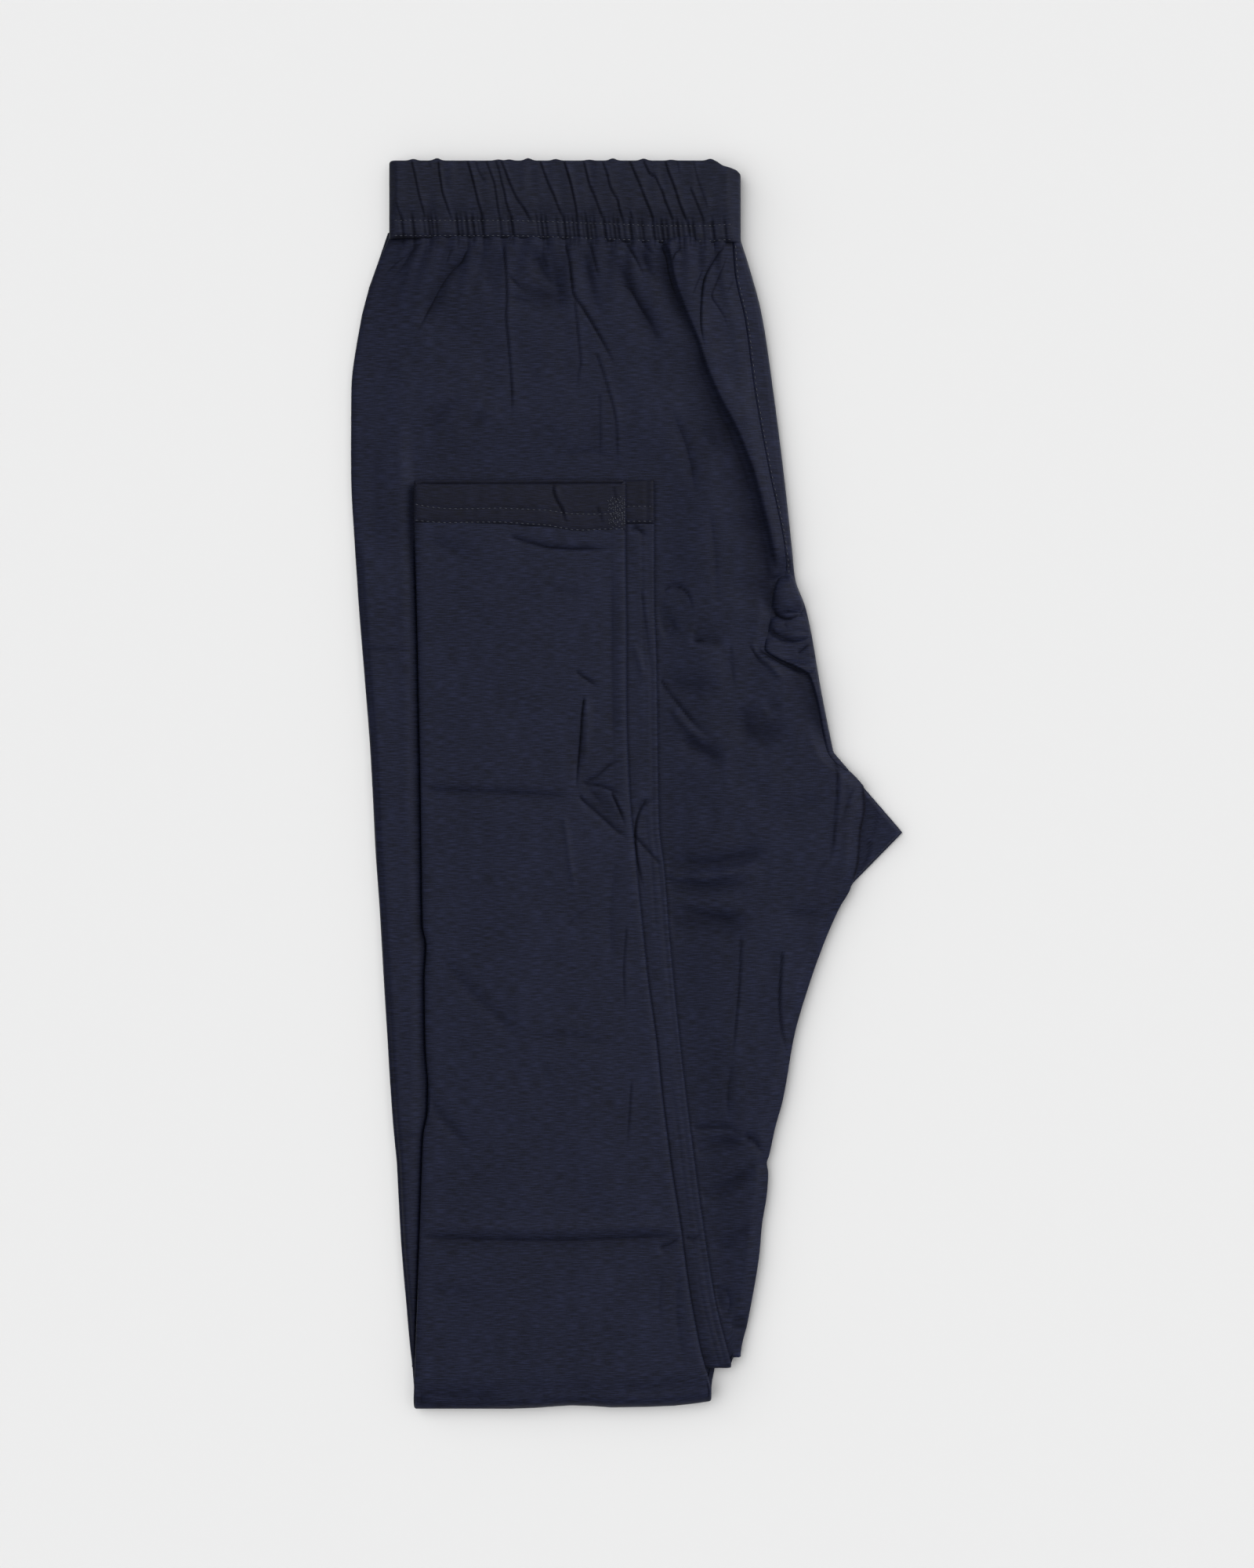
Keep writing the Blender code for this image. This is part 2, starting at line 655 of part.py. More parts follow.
def band_top(x, drop):
    """The casing's upper edge, which slopes away at the right where its layers step down."""
    return BAND_TOP - drop * smooth((x - 38.0) / 12.0)


def make_waistband(material, collection):
    """The elastic casing as one ring, folded into four flat layers, with pleats on the one that shows."""
    half = BAND_WALL / 2.0
    turn = BAND_PITCH / 2.0
    levels = [half + BAND_PITCH * count for count in range(4)]
    left = BAND_LEFT + half + turn
    right = BAND_RIGHT - half - 1.5 * BAND_PITCH
    middle = (levels[0] + levels[3]) / 2.0
    heights = [BAND_LOW, 243.6, RUCHE_TOP, 251.5, 260.0, 268.0, 272.8, BAND_TOP]
    rows = []
    for y in heights:
        share = (y - BAND_LOW) / (BAND_TOP - BAND_LOW)
        valleys = [left] + [pleat.low + (pleat.top - pleat.low) * share for pleat in PLEATS] + [right]
        pleated = smooth((y - 243.0) / 7.0) * (1.0 - 0.6 * smooth((y - 268.0) / 6.5))
        ruched = 1.0 - smooth((y - RUCHE_TOP) / 5.0)
        row = []
        for start, end in zip(valleys, valleys[1:]):
            for column in range(PLEAT_COLUMNS):
                f = column / PLEAT_COLUMNS
                bulge = (4.0 * f * (1.0 - f)) ** 0.7
                wide = min(1.0, (end - start) / 6.0)
                lift = PLEAT_HEIGHT * wide * bulge * (0.25 + 0.75 * pleated)
                lift += RUCHE_HEIGHT * ruched * (column % 2)
                x = start + (end - start) * f
                top = band_top(x, 6.0) + 0.6 * bulge
                row.append((x, BAND_LOW + (top - BAND_LOW) * share, levels[3] + lift))
        under = [(5.0, arc(right, middle, 1.5 * BAND_PITCH, 90, -90, 9))]
        under.append((4.0, line(right, left, levels[0], 6)))
        under.append((0.0, arc(left, (levels[0] + levels[1]) / 2, turn, -90, -270, 5)))
        under.append((2.0, line(left, right, levels[1], 6)))
        under.append((2.0, arc(right, middle, turn, -90, 90, 5)))
        under.append((2.0, line(right, left, levels[2], 6)))
        under.append((0.0, arc(left, (levels[2] + levels[3]) / 2, turn, -90, -270, 5)))
        for drop, places in under:
            for x, z in places:
                top = band_top(x, drop)
                row.append((x, BAND_LOW + (top - BAND_LOW) * share, z))
        rows.append(row + row[:1])
    sheet_object("waistband", rows, BAND_WALL, material, collection, closed=True)


def main():
    clear_scene()
    collection = new_collection("Leggings")
    make_right_leg(cloth_material("right_leg_cloth", NAVY, 0.85), collection)
    make_left_leg(cloth_material("left_leg_cloth", NAVY, 0.85), collection)
    make_front_edge(cloth_material("front_edge_cloth", NAVY, 0.85), collection)
    make_hidden_layers(cloth_material("hidden_cloth", NAVY_INSIDE, 0.9), collection)
    right_cloth = cloth_material("right_hem_cloth", NAVY, 0.85)
    make_hem("hem_right", RIGHT_SHIN, RIGHT_HEM, WALL, HEM_PUFF, right_cloth, collection)
    left_cloth = cloth_material("left_hem_cloth", NAVY, 0.85)
    make_hem("hem_left", LEFT_SHIN, LEFT_HEM, LEFT_HEM_WALL, 0.0, left_cloth, collection)
    make_waistband(cloth_material("casing_cloth", NAVY, 0.85), collection)


main()
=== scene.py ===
# %% [markdown]
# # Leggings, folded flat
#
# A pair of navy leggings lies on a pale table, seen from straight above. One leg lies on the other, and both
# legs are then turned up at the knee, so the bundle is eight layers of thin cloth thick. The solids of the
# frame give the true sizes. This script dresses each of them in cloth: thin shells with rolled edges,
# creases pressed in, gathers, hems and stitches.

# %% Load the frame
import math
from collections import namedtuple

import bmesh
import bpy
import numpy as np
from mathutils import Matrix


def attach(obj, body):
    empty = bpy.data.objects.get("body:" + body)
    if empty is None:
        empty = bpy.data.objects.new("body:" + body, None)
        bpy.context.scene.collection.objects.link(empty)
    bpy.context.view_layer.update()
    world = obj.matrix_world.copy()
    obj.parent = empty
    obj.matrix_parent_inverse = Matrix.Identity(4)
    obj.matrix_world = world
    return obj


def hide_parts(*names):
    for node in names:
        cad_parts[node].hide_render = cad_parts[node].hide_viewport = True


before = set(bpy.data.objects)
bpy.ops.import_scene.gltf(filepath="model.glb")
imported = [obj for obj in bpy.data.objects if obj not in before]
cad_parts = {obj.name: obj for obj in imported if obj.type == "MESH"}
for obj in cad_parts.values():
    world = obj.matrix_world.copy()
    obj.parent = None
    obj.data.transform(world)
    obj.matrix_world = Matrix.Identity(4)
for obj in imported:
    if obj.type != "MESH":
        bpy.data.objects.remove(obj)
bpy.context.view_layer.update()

# %% [markdown]
# ## Units and small helpers
#
# Sizes are in millimetres, as a maker measures cloth, and turn into metres when a mesh is made. Only the
# table and the flat sizes that the sheets are declared with are in metres.
# The picture that the sizes were read from has 1600 by 2000 pixels, and one of them is 0.345 mm of cloth.
# Heights are worked out with numpy for a whole grid at once, which is far quicker than point by point.

MM = 0.001
Bumps = namedtuple("Bumps", "height size_x size_y seed")
NOISE_CELLS = 64
NOISE_SHIFT = 500.0


def smooth(value):
    """0 below 0, 1 above 1 and an S between."""
    value = np.clip(value, 0.0, 1.0)
    return value * value * (3.0 - 2.0 * value)


def bell(distance, width):
    """1 at the distance 0, and softly less on both sides of it."""
    return np.exp(-((distance / width) ** 2))


def spread(values, x):
    """One value a row, repeated for each column of the grid x."""
    return np.repeat(values[:, None], x.shape[1], axis=1)


def distance_along(first, second):
    """Distance along a line from its first point to each point, from the points' two coordinates."""
    return np.concatenate([[0.0], np.cumsum(np.hypot(np.diff(first), np.diff(second)))])


def read(table, name, y):
    """One column of an outline at the heights y, on a curve through its rows that doesn't overshoot."""
    rows = sorted(table)
    ys = np.array([row.y for row in rows])
    values = np.array([getattr(row, name) for row in rows])
    slopes = np.diff(values) / np.diff(ys)
    turning = slopes[:-1] * slopes[1:] <= 0.0
    total = np.where(turning, 1.0, slopes[:-1] + slopes[1:])
    inner = np.where(turning, 0.0, 2.0 * slopes[:-1] * slopes[1:] / total)
    tangents = np.concatenate([slopes[:1], inner, slopes[-1:]])
    y = np.clip(np.asarray(y, dtype=float), ys[0], ys[-1])
    index = np.clip(np.searchsorted(ys, y, side="right") - 1, 0, len(ys) - 2)
    span = ys[index + 1] - ys[index]
    t = (y - ys[index]) / span
    start = values[index] * (1 + 2 * t) * (1 - t) ** 2 + tangents[index] * span * t * (1 - t) ** 2
    end = values[index + 1] * t * t * (3 - 2 * t) + tangents[index + 1] * span * t * t * (t - 1)
    return start + end


def soft_noise(x, y, size_x, size_y, seed):
    """Smooth bumps from -1 to 1 on a grid of fixed random heights, size_x by size_y mm apart."""
    heights = np.random.RandomState(seed).uniform(-1.0, 1.0, (NOISE_CELLS, NOISE_CELLS))
    u = x / size_x + NOISE_SHIFT
    v = y / size_y + NOISE_SHIFT
    i = np.floor(u).astype(int)
    j = np.floor(v).astype(int)
    s = smooth(u - i)
    t = smooth(v - j)
    i, j = i % NOISE_CELLS, j % NOISE_CELLS
    next_i, next_j = (i + 1) % NOISE_CELLS, (j + 1) % NOISE_CELLS
    low = heights[i, j] * (1 - s) + heights[next_i, j] * s
    high = heights[i, next_j] * (1 - s) + heights[next_i, next_j] * s
    return low * (1 - t) + high * t


def noise_layers(x, y, layers):
    """Bumps of several sizes on top of each other."""
    return sum(bumps.height * soft_noise(x, y, bumps.size_x, bumps.size_y, bumps.seed) for bumps in layers)


# %% [markdown]
# ## Creases
#
# A pressed crease in thin cloth is a soft trough or ridge that starts and dies out, mostly bent, and steeper
# on one side. It could be sculpted, simulated or painted as bump. Here each is one row of a table: the places
# that its line passes through, how far it reaches on each side, and its height. That keeps every crease where
# the real one lies, and it stays true geometry from all sides.
#
# A broad trough is a valley. A narrow one that runs up and down is a lap, with the cloth on its right lying over
# the cloth on its left. Hardly any light gets into its narrow core. So each crease also writes how much
# shade to paint there, and the cloth's colour is painted darker and its lustre duller by that much.

# %% What all creases share
Crease = namedtuple("Crease", "places left right height")
CREASE_STEPS = 5
CREASE_REACH = 2.8
CREASE_SHARPNESS = 1.45

# How a crease starts, ends and wavers along its line, as shares of its length or in millimetres. Its start
# is at least as long as the crease is wide, but no longer than WIDE_START of its length
STARTS_WITHIN = 0.2
LONGEST_START = 2.5
WIDE_START = 0.45
BROAD_START = 0.35
ENDS_WITHIN = 0.45
LONGEST_END = 16.0
WAVER = 0.2
WAVER_LENGTH = 7.0

# A crease gets keen when it is narrower than this, and is fully so when it is narrower by the range as well
KEEN_UNDER = 2.6
KEEN_RANGE = 1.2

# A keen crease's sharp core, and the depth around it. Depths are shares of the height in the table
CORE = 0.55
CORE_DEPTH = 0.3
BROAD_DEPTH = 1.15
KEEN_LOSS = 0.5

# Over what width a lap steps up, how much its sides rise and sink, and how much wider its raised side is
LAP_STEP = 0.35
LAP_UP = 0.8
LAP_DOWN = 0.4
LAP_WIDER = 1.7

# How dark a crease is painted, and the heights at which that is full
DARKEST_AT = 1.1
SOFT_DARKEST_AT = 1.4
SOFT_DARK = 0.52
KEEN_LESS_DARK = 0.3


# %% Creases as heights
def crease_line(places):
    """A smooth line through a crease's places, and the distance along it to each of its points."""
    places = np.array(places)
    padded = np.vstack([2.0 * places[0] - places[1], places, 2.0 * places[-1] - places[-2]])
    t = (np.arange(CREASE_STEPS) / CREASE_STEPS)[:, None]
    parts = []
    for before, start, end, after in zip(padded, padded[1:], padded[2:], padded[3:]):
        bend = 2.0 * before - 5.0 * start + 4.0 * end - after
        twist = 3.0 * start - before - 3.0 * end + after
        parts.append(start + 0.5 * ((end - before) * t + bend * t**2 + twist * t**3))
    line = np.vstack([*parts, places[-1:]])
    return line, distance_along(line[:, 0], line[:, 1])


def near_line(line, x, y, reach):
    """The places of a grid that are within reach of a line's box."""
    near = (x > line[:, 0].min() - reach) & (x < line[:, 0].max() + reach)
    return near & (y > line[:, 1].min() - reach) & (y < line[:, 1].max() + reach)


def crease_strength(place, length, width, keen, start_fade, end_fade, seed):
    """How strong a crease is along its line: it starts quickly, dies out slowly and wavers on the way."""
    start_length = min(STARTS_WITHIN * length, start_fade)
    start_length = max(start_length, min(width, WIDE_START * length))
    start_length = max(start_length, BROAD_START * (1.0 - keen) * length)
    end_length = min(ENDS_WITHIN * length, end_fade)
    strength = smooth(place / start_length) * smooth((length - place) / end_length)
    return strength * (1.0 + WAVER * soft_noise(place, 0.0 * place, WAVER_LENGTH, 1.0, seed))


def crease_relief(creases, x, y, core=CORE, start_fade=LONGEST_START, end_fade=LONGEST_END):
    """The height of all the creases together, and how much shade is painted at each place, from 0 to 1.

    A narrow trough has a sharp core, which little light reaches, so shade is painted there. If it runs up and
    down, it is a lap: the cloth on its right stands higher than the cloth on its left.
    """
    total = np.zeros(x.shape)
    hollow = np.zeros(x.shape)
    for number, crease in enumerate(creases):
        line, passed = crease_line(crease.places)
        near = near_line(line, x, y, CREASE_REACH * max(crease.left, crease.right))
        if not near.any():
            continue
        points = np.stack([x[near], y[near]], axis=-1)[:, None, :]
        start, run = line[:-1], np.diff(line, axis=0)
        squared = (run**2).sum(axis=1)
        along = np.clip(((points - start) * run).sum(axis=2) / squared, 0.0, 1.0)
        away = points - start - along[..., None] * run
        distance = np.hypot(away[..., 0], away[..., 1])
        nearest = distance.argmin(axis=1)
        pick = np.arange(len(nearest))
        away, distance = away[pick, nearest], distance[pick, nearest]
        side = run[nearest, 0] * away[:, 1] - run[nearest, 1] * away[:, 0]
        width = np.where(side < 0.0, crease.left, crease.right)
        place = passed[nearest] + along[pick, nearest] * np.sqrt(squared[nearest])
        narrow = min(crease.left, crease.right)
        keen = smooth((KEEN_UNDER - narrow) / KEEN_RANGE)
        strength = crease_strength(place, passed[-1], narrow, keen, start_fade, end_fade, number)
        soft = np.exp(-((distance / width) ** CREASE_SHARPNESS))
        if crease.height > 0.0:
            total[near] += crease.height * strength * soft
            continue
        upright = keen * run[nearest, 1] ** 2 / squared[nearest]
        lapped = 0.5 + 0.5 * np.tanh(away[:, 0] / LAP_STEP)
        wider = np.exp(-((distance / (LAP_WIDER * width)) ** CREASE_SHARPNESS))
        lap = LAP_DOWN * (1.0 - lapped) * soft - LAP_UP * lapped * wider
        depth = crease.height * strength * (BROAD_DEPTH - KEEN_LOSS * keen)
        total[near] += depth * (upright * lap + (1.0 - upright) * soft)
        sharp = keen * strength * bell(distance, core)
        total[near] += CORE_DEPTH * crease.height * sharp
        # Painted shade: darkest in a keen crease's core, and softer over a broad trough or the low side of a lap
        full = min(1.0, -crease.height / SOFT_DARKEST_AT)
        shade = SOFT_DARK * (1.0 - KEEN_LESS_DARK * keen) * full * strength
        shade = shade * (upright * (1.0 - lapped) * wider + (1.0 - upright) * soft)
        darkness = np.maximum(sharp * min(1.0, -crease.height / DARKEST_AT), shade)
        hollow[near] = np.maximum(hollow[near], darkness)
    return total, hollow


# %% [markdown]
# ## Grids of cloth
#
# Every piece of cloth here is a grid of points, in a leg with rows along it and columns across. Faces are
# joined from the grid's own order, and the distances along the cloth become a UV map named cloth, in metres,
# so that the weave follows the cloth round its folds. The Solidify modifier gives an open sheet its wall.

# %% Grids of points as meshes
CLOTH = 0.8
SHARP_ANGLE = 65.0


def grid_object(name, points, cloth, hollow=None, wrap_rows=False, wrap_columns=False, flip=False):
    """A mesh through rows and columns of points in mm. cloth gives each point's place on the flat cloth."""
    rows, columns = points.shape[:2]
    index = np.arange(rows * columns).reshape(rows, columns)
    if wrap_rows:
        index = np.vstack([index, index[:1]])
    if wrap_columns:
        index = np.hstack([index, index[:, :1]])
    corners = [(slice(None, -1), slice(None, -1)), (slice(None, -1), slice(1, None))]
    corners += [(slice(1, None), slice(1, None)), (slice(1, None), slice(None, -1))]
    if flip:
        corners.reverse()
    faces = np.stack([index[place] for place in corners], axis=-1).reshape(-1, 4)
    places = np.stack([cloth[place] for place in corners], axis=-2).reshape(-1, 2)
    mesh = bpy.data.meshes.new(name)
    mesh.from_pydata((points.reshape(-1, 3) * MM).tolist(), [], faces.tolist())
    mesh.uv_layers.new(name="cloth").data.foreach_set("uv", (places * MM).ravel())
    # Each point's painted shade, which the cloth's material reads
    if hollow is not None:
        depths = mesh.attributes.new("hollow", "FLOAT", "POINT")
        depths.data.foreach_set("value", np.broadcast_to(hollow, points.shape[:2]).ravel())
    mesh.shade_smooth()
    obj = bpy.data.objects.new(name, mesh)
    bpy.context.scene.collection.objects.link(obj)
    return obj


def applied(obj):
    """Turns a piece and its modifiers into a plain mesh."""
    evaluated = obj.evaluated_get(bpy.context.evaluated_depsgraph_get())
    mesh = bpy.data.meshes.new_from_object(evaluated)
    mesh.name = obj.name
    obj.modifiers.clear()
    obj.data = mesh
    return obj


def with_wall(obj, wall=CLOTH):
    """Gives a sheet its thickness, half to each side."""
    solidify = obj.modifiers.new("Wall", "SOLIDIFY")
    solidify.thickness = wall * MM
    solidify.offset = 0.0
    applied(obj)
    obj.data.set_sharp_from_angle(angle=math.radians(SHARP_ANGLE))
    triangles = sum(len(face.vertices) - 2 for face in obj.data.polygons)
    print(obj.name, "has", triangles, "triangles")
    return obj


def closed_up(obj):
    """Fills what is open of a piece that should be closed, and turns all its faces outwards."""
    bm = bmesh.new()
    bm.from_mesh(obj.data)
    open_edges = [edge for edge in bm.edges if edge.is_boundary]
    if open_edges:
        bmesh.ops.holes_fill(bm, edges=open_edges)
    bmesh.ops.recalc_face_normals(bm, faces=bm.faces)
    bm.to_mesh(obj.data)
    bm.free()
    return obj


def path_length(points):
    """Distance along the columns of a grid, from its first row."""
    steps = np.linalg.norm(np.diff(points, axis=0), axis=-1)
    return np.vstack([np.zeros(points.shape[1]), np.cumsum(steps, axis=0)])


# %% [markdown]
# ## The outlines
#
# A tailor would draw these as the pattern: where the cloth ends on the left and right at each height. They
# are the same driving sizes as the frame's, so the cloth sits in the space of its solid. The legs widen from
# 91 mm at the ankle to 232 mm at the fork, flat.

# %% Outlines of the pieces
Outline = namedtuple("Outline", "y left right")
Edge = namedtuple("Edge", "y right")

BODY = [Outline(*row) for row in [
    (240.0, -105.2, 50.4), (228.0, -110.4, 54.2), (207.2, -116.6, 59.7), (172.7, -121.2, 64.9),
    (138.2, -121.4, 69.3), (103.7, -119.7, 73.1), (91.0, -118.8, 74.4), (78.0, -118.0, 79.0),
    (69.2, -117.3, 81.1), (41.6, -115.0, 85.9), (14.0, -112.9, 91.4), (-12.0, -111.5, 97.0),
    (-30.0, -110.6, 100.0), (-44.0, -109.6, 99.0), (-55.0, -108.8, 93.6), (-68.8, -108.0, 87.6),
    (-89.5, -106.8, 80.2), (-110.2, -105.5, 74.2), (-137.8, -103.8, 69.3), (-152.0, -102.6, 65.5),
    (-163.4, -101.5, 63.0), (-166.8, -101.2, 62.0), (-171.3, -101.0, 62.6), (-179.6, -100.6, 62.1),
    (-193.7, -99.8, 59.9), (-206.8, -99.0, 58.7), (-241.3, -95.9, 52.8), (-254.8, -94.6, 50.5),
]]

# The floor layer narrows to the right shin's width as it reaches the fold
FLOOR_END = [Outline(*row) for row in [
    (-246.0, -95.4, 51.4), (-252.5, -94.8, 42.5), (-258.6, -94.2, 39.0), (-269.2, -93.4, 37.6),
]]

RIGHT_SHIN = [Outline(*row) for row in [
    (134.0, -93.5, 0.3), (103.7, -92.8, -0.2), (69.2, -91.8, 0.2), (34.7, -91.1, 0.3), (0.2, -90.4, 1.4),
    (-34.3, -89.9, 4.5), (-61.9, -89.4, 7.2), (-70.6, -87.8, 8.1), (-86.1, -88.6, 9.7),
    (-113.7, -88.2, 13.5), (-139.6, -86.6, 16.2), (-155.1, -89.2, 18.2), (-168.9, -89.8, 20.0),
    (-193.0, -90.6, 23.8), (-220.6, -91.6, 27.5), (-241.3, -92.4, 31.2), (-269.2, -93.4, 37.4),
]]

LEFT_SHIN = [Outline(*row) for row in [
    (134.0, -92.3, 12.4), (86.4, -91.0, 12.4), (51.9, -90.2, 13.5), (-17.1, -89.2, 14.5),
    (-37.8, -88.8, 16.9), (-68.8, -87.0, 19.3), (-120.6, -87.0, 24.5), (-148.2, -87.6, 27.9),
    (-182.7, -89.0, 32.4), (-206.8, -90.2, 35.9), (-227.5, -90.8, 39.3), (-254.8, -92.0, 46.2),
]]

# The centre seam and, below it, the line where the left front ends over the fork
CENTRE_SEAM = [Edge(*row) for row in [
    (240.0, 46.5), (224.4, 47.6), (203.7, 52.1), (172.7, 56.2), (138.2, 62.4), (103.7, 69.3), (93.0, 70.3),
    (90.0, 67.0), (86.0, 65.4), (80.0, 64.4), (74.5, 64.1), (69.5, 63.2), (66.0, 62.6), (62.5, 61.5),
    (59.5, 61.2), (57.0, 64.0), (55.0, 67.6), (53.0, 72.6), (50.9, 76.6), (49.0, 79.7), (41.0, 82.8),
    (34.7, 84.4), (14.4, 88.9), (9.5, 92.6), (6.0, 97.4),
]]
FORK_LINE = [Edge(*row) for row in [
    (6.0, 97.8), (-1.6, 104.4), (-10.2, 105.0), (-20.5, 103.2), (-34.3, 102.1), (-43.0, 99.8),
]]
FORK_X = 121.8
FORK_Y = -21.2
FORK_SLOPE_ABOVE = 0.864
FORK_SLOPE_BELOW = 0.98
SEAM_END = CENTRE_SEAM[-1].y
FORK_END = FORK_LINE[-1].y


def fork_edge(y):
    """The fork's straight sides, which meet at its tip."""
    slope = np.where(y > FORK_Y, FORK_SLOPE_ABOVE, FORK_SLOPE_BELOW)
    return FORK_X - slope * np.abs(y - FORK_Y)


def body_left(y):
    return read(BODY, "left", y)


def body_right(y):
    return np.maximum(read(BODY, "right", y), fork_edge(y))


def floor_edges(y):
    """Left and right end of the layers on the floor, which follow the body and then narrow to the fold."""
    on_body = y > FLOOR_END[0].y
    left = np.where(on_body, body_left(y), read(FLOOR_END, "left", y))
    return left, np.where(on_body, body_right(y), read(FLOOR_END, "right", y))


def shins_left(y):
    """The leftmost end of the two lower legs that lie on the left front."""
    return np.minimum(read(LEFT_SHIN, "left", y), read(RIGHT_SHIN, "left", y))


def front_right(y):
    """Where the left front ends: at the centre seam, over the fork, then at its own inseam."""
    over_fork = np.minimum(read(FORK_LINE, "right", y), fork_edge(y))
    below = np.where(y > FORK_END, over_fork, read(BODY, "right", y))
    return np.where(y > SEAM_END, read(CENTRE_SEAM, "right", y), below)


# %% [markdown]
# ## Rolled edges
#
# Where a leg lies folded flat, its edge is not cut but a soft roll: the cloth goes round and comes back
# underneath. Each row of a grid therefore starts and ends with half a turn. The turn's radius may change
# along the edge, and near a seam it is small, so that the cloth dives into the seam.

# %% A row of cloth from one rolled edge to the other
ROLL_STEPS = 6
TUCK = 0.8


def rolled_rows(left, right, radius_left, radius_right, shares):
    """x and drop for each row: half a turn at each side, and between them the given shares of the width."""
    left, right = left[:, None], right[:, None]
    radius_left = np.broadcast_to(radius_left, left[:, 0].shape)[:, None]
    radius_right = np.broadcast_to(radius_right, left[:, 0].shape)[:, None]
    turns = np.linspace(0.0, math.pi, ROLL_STEPS + 1)[None, :]
    start, end = left + radius_left, right - radius_right
    x_left = start - radius_left * np.sin(turns)
    x_right = end + radius_right * np.sin(turns)
    drop_left = radius_left * (1.0 + np.cos(turns))
    drop_right = radius_right * (1.0 - np.cos(turns))
    flat = start + (end - start) * shares[:, 1:-1]
    x = np.hstack([start + TUCK, x_left, flat, x_right, end - TUCK])
    drop = np.hstack([2 * radius_left, drop_left, 0.0 * flat, drop_right, 2 * radius_right])
    return x, drop


def share_columns(anchors, counts):
    """Shares of the width for each row: counts[i] even steps from anchor i to the next one."""
    parts = []
    for start, end, count in zip(anchors, anchors[1:], counts):
        steps = np.arange(count)[None, :] / count
        parts.append(start[:, None] + (end - start)[:, None] * steps)
    parts.append(anchors[-1][:, None])
    places = np.hstack(parts)
    return (places - places[:, :1]) / (places[:, -1:] - places[:, :1])


# %% [markdown]
# ## The cloth's finish
#
# The cloth is a light woven-looking jersey: dull navy with a faint silky lustre, and crosswise slubs, which
# are thicker stretches of yarn that show as short pale streaks. A photograph of cloth could be used, but
# noise stretched along the yarn looks similar and works at any size. Four layers of noise read the cloth map:
# slubs, fine crosswise yarn, faint lengthwise yarn and a slow cloudiness. All but the last also drive a bump.

# %% Navy cloth
CloudySizes = namedtuple("CloudySizes", "along across detail")
SLUBS = CloudySizes(0.19, 2.1, 1.5)
YARN = CloudySizes(0.9, 5.0, 1.0)
WARP = CloudySizes(3.6, 0.35, 1.0)
CLOUDS = CloudySizes(0.035, 0.05, 2.0)

# How much each layer of noise adds to the tone, the tones of the dark and the light colour, and the bump
SLUB_CONTRAST = 1.8
YARN_WEIGHT = 0.45
WARP_WEIGHT = 0.25
CLOUD_WEIGHT = 0.3
DARK_TONE = 0.53
LIGHT_TONE = 1.44
WEAVE_DEPTH = 0.12
WEAVE_STRENGTH = 0.35

# What the painted shade does to the cloth: it darkens the colour and dulls the lustre
PAINTED_SHADE_COLOUR = (0.0014, 0.0012, 0.0024)
PAINTED_SHADE_SHARE = 0.68
PAINTED_SHADE_DULLER = 0.35


def link(tree, output, target):
    tree.links.new(output, target)


def new_material(name):
    """A new material, with its node tree and its shader."""
    material = bpy.data.materials.new(name)
    material.use_nodes = True
    return material, material.node_tree, material.node_tree.nodes["Principled BSDF"]


def cloth_noise(tree, uv, sizes):
    """Noise on the cloth map, with its own scale, in cells a millimetre, along and across the yarn."""
    mapping = tree.nodes.new("ShaderNodeMapping")
    mapping.inputs["Scale"].default_value = (sizes.along / MM, sizes.across / MM, 1.0)
    noise = tree.nodes.new("ShaderNodeTexNoise")
    noise.noise_dimensions = "2D"
    noise.inputs["Scale"].default_value = 1.0
    noise.inputs["Detail"].default_value = sizes.detail
    link(tree, uv, mapping.inputs["Vector"])
    link(tree, mapping.outputs["Vector"], noise.inputs["Vector"])
    return noise.outputs["Fac"]


def math_node(tree, operation, first, second, third=None):
    """One Math node. Each value is a number or another node's output."""
    node = tree.nodes.new("ShaderNodeMath")
    node.operation = operation
    for socket, value in zip(node.inputs, (first, second, third)):
        if value is None:
            continue
        if isinstance(value, (int, float)):
            socket.default_value = value
        else:
            link(tree, value, socket)
    return node.outputs[0]


def colour_mix(tree, factor, first, second):
    """One Mix node for colours. Each of them is three numbers or another node's output."""
    node = tree.nodes.new("ShaderNodeMix")
    node.data_type = "RGBA"
    link(tree, factor, node.inputs["Factor"])
    for socket, colour in (("A", first), ("B", second)):
        if isinstance(colour, tuple):
            node.inputs[socket].default_value = (*colour, 1.0)
        else:
            link(tree, colour, node.inputs[socket])
    return node.outputs["Result"]


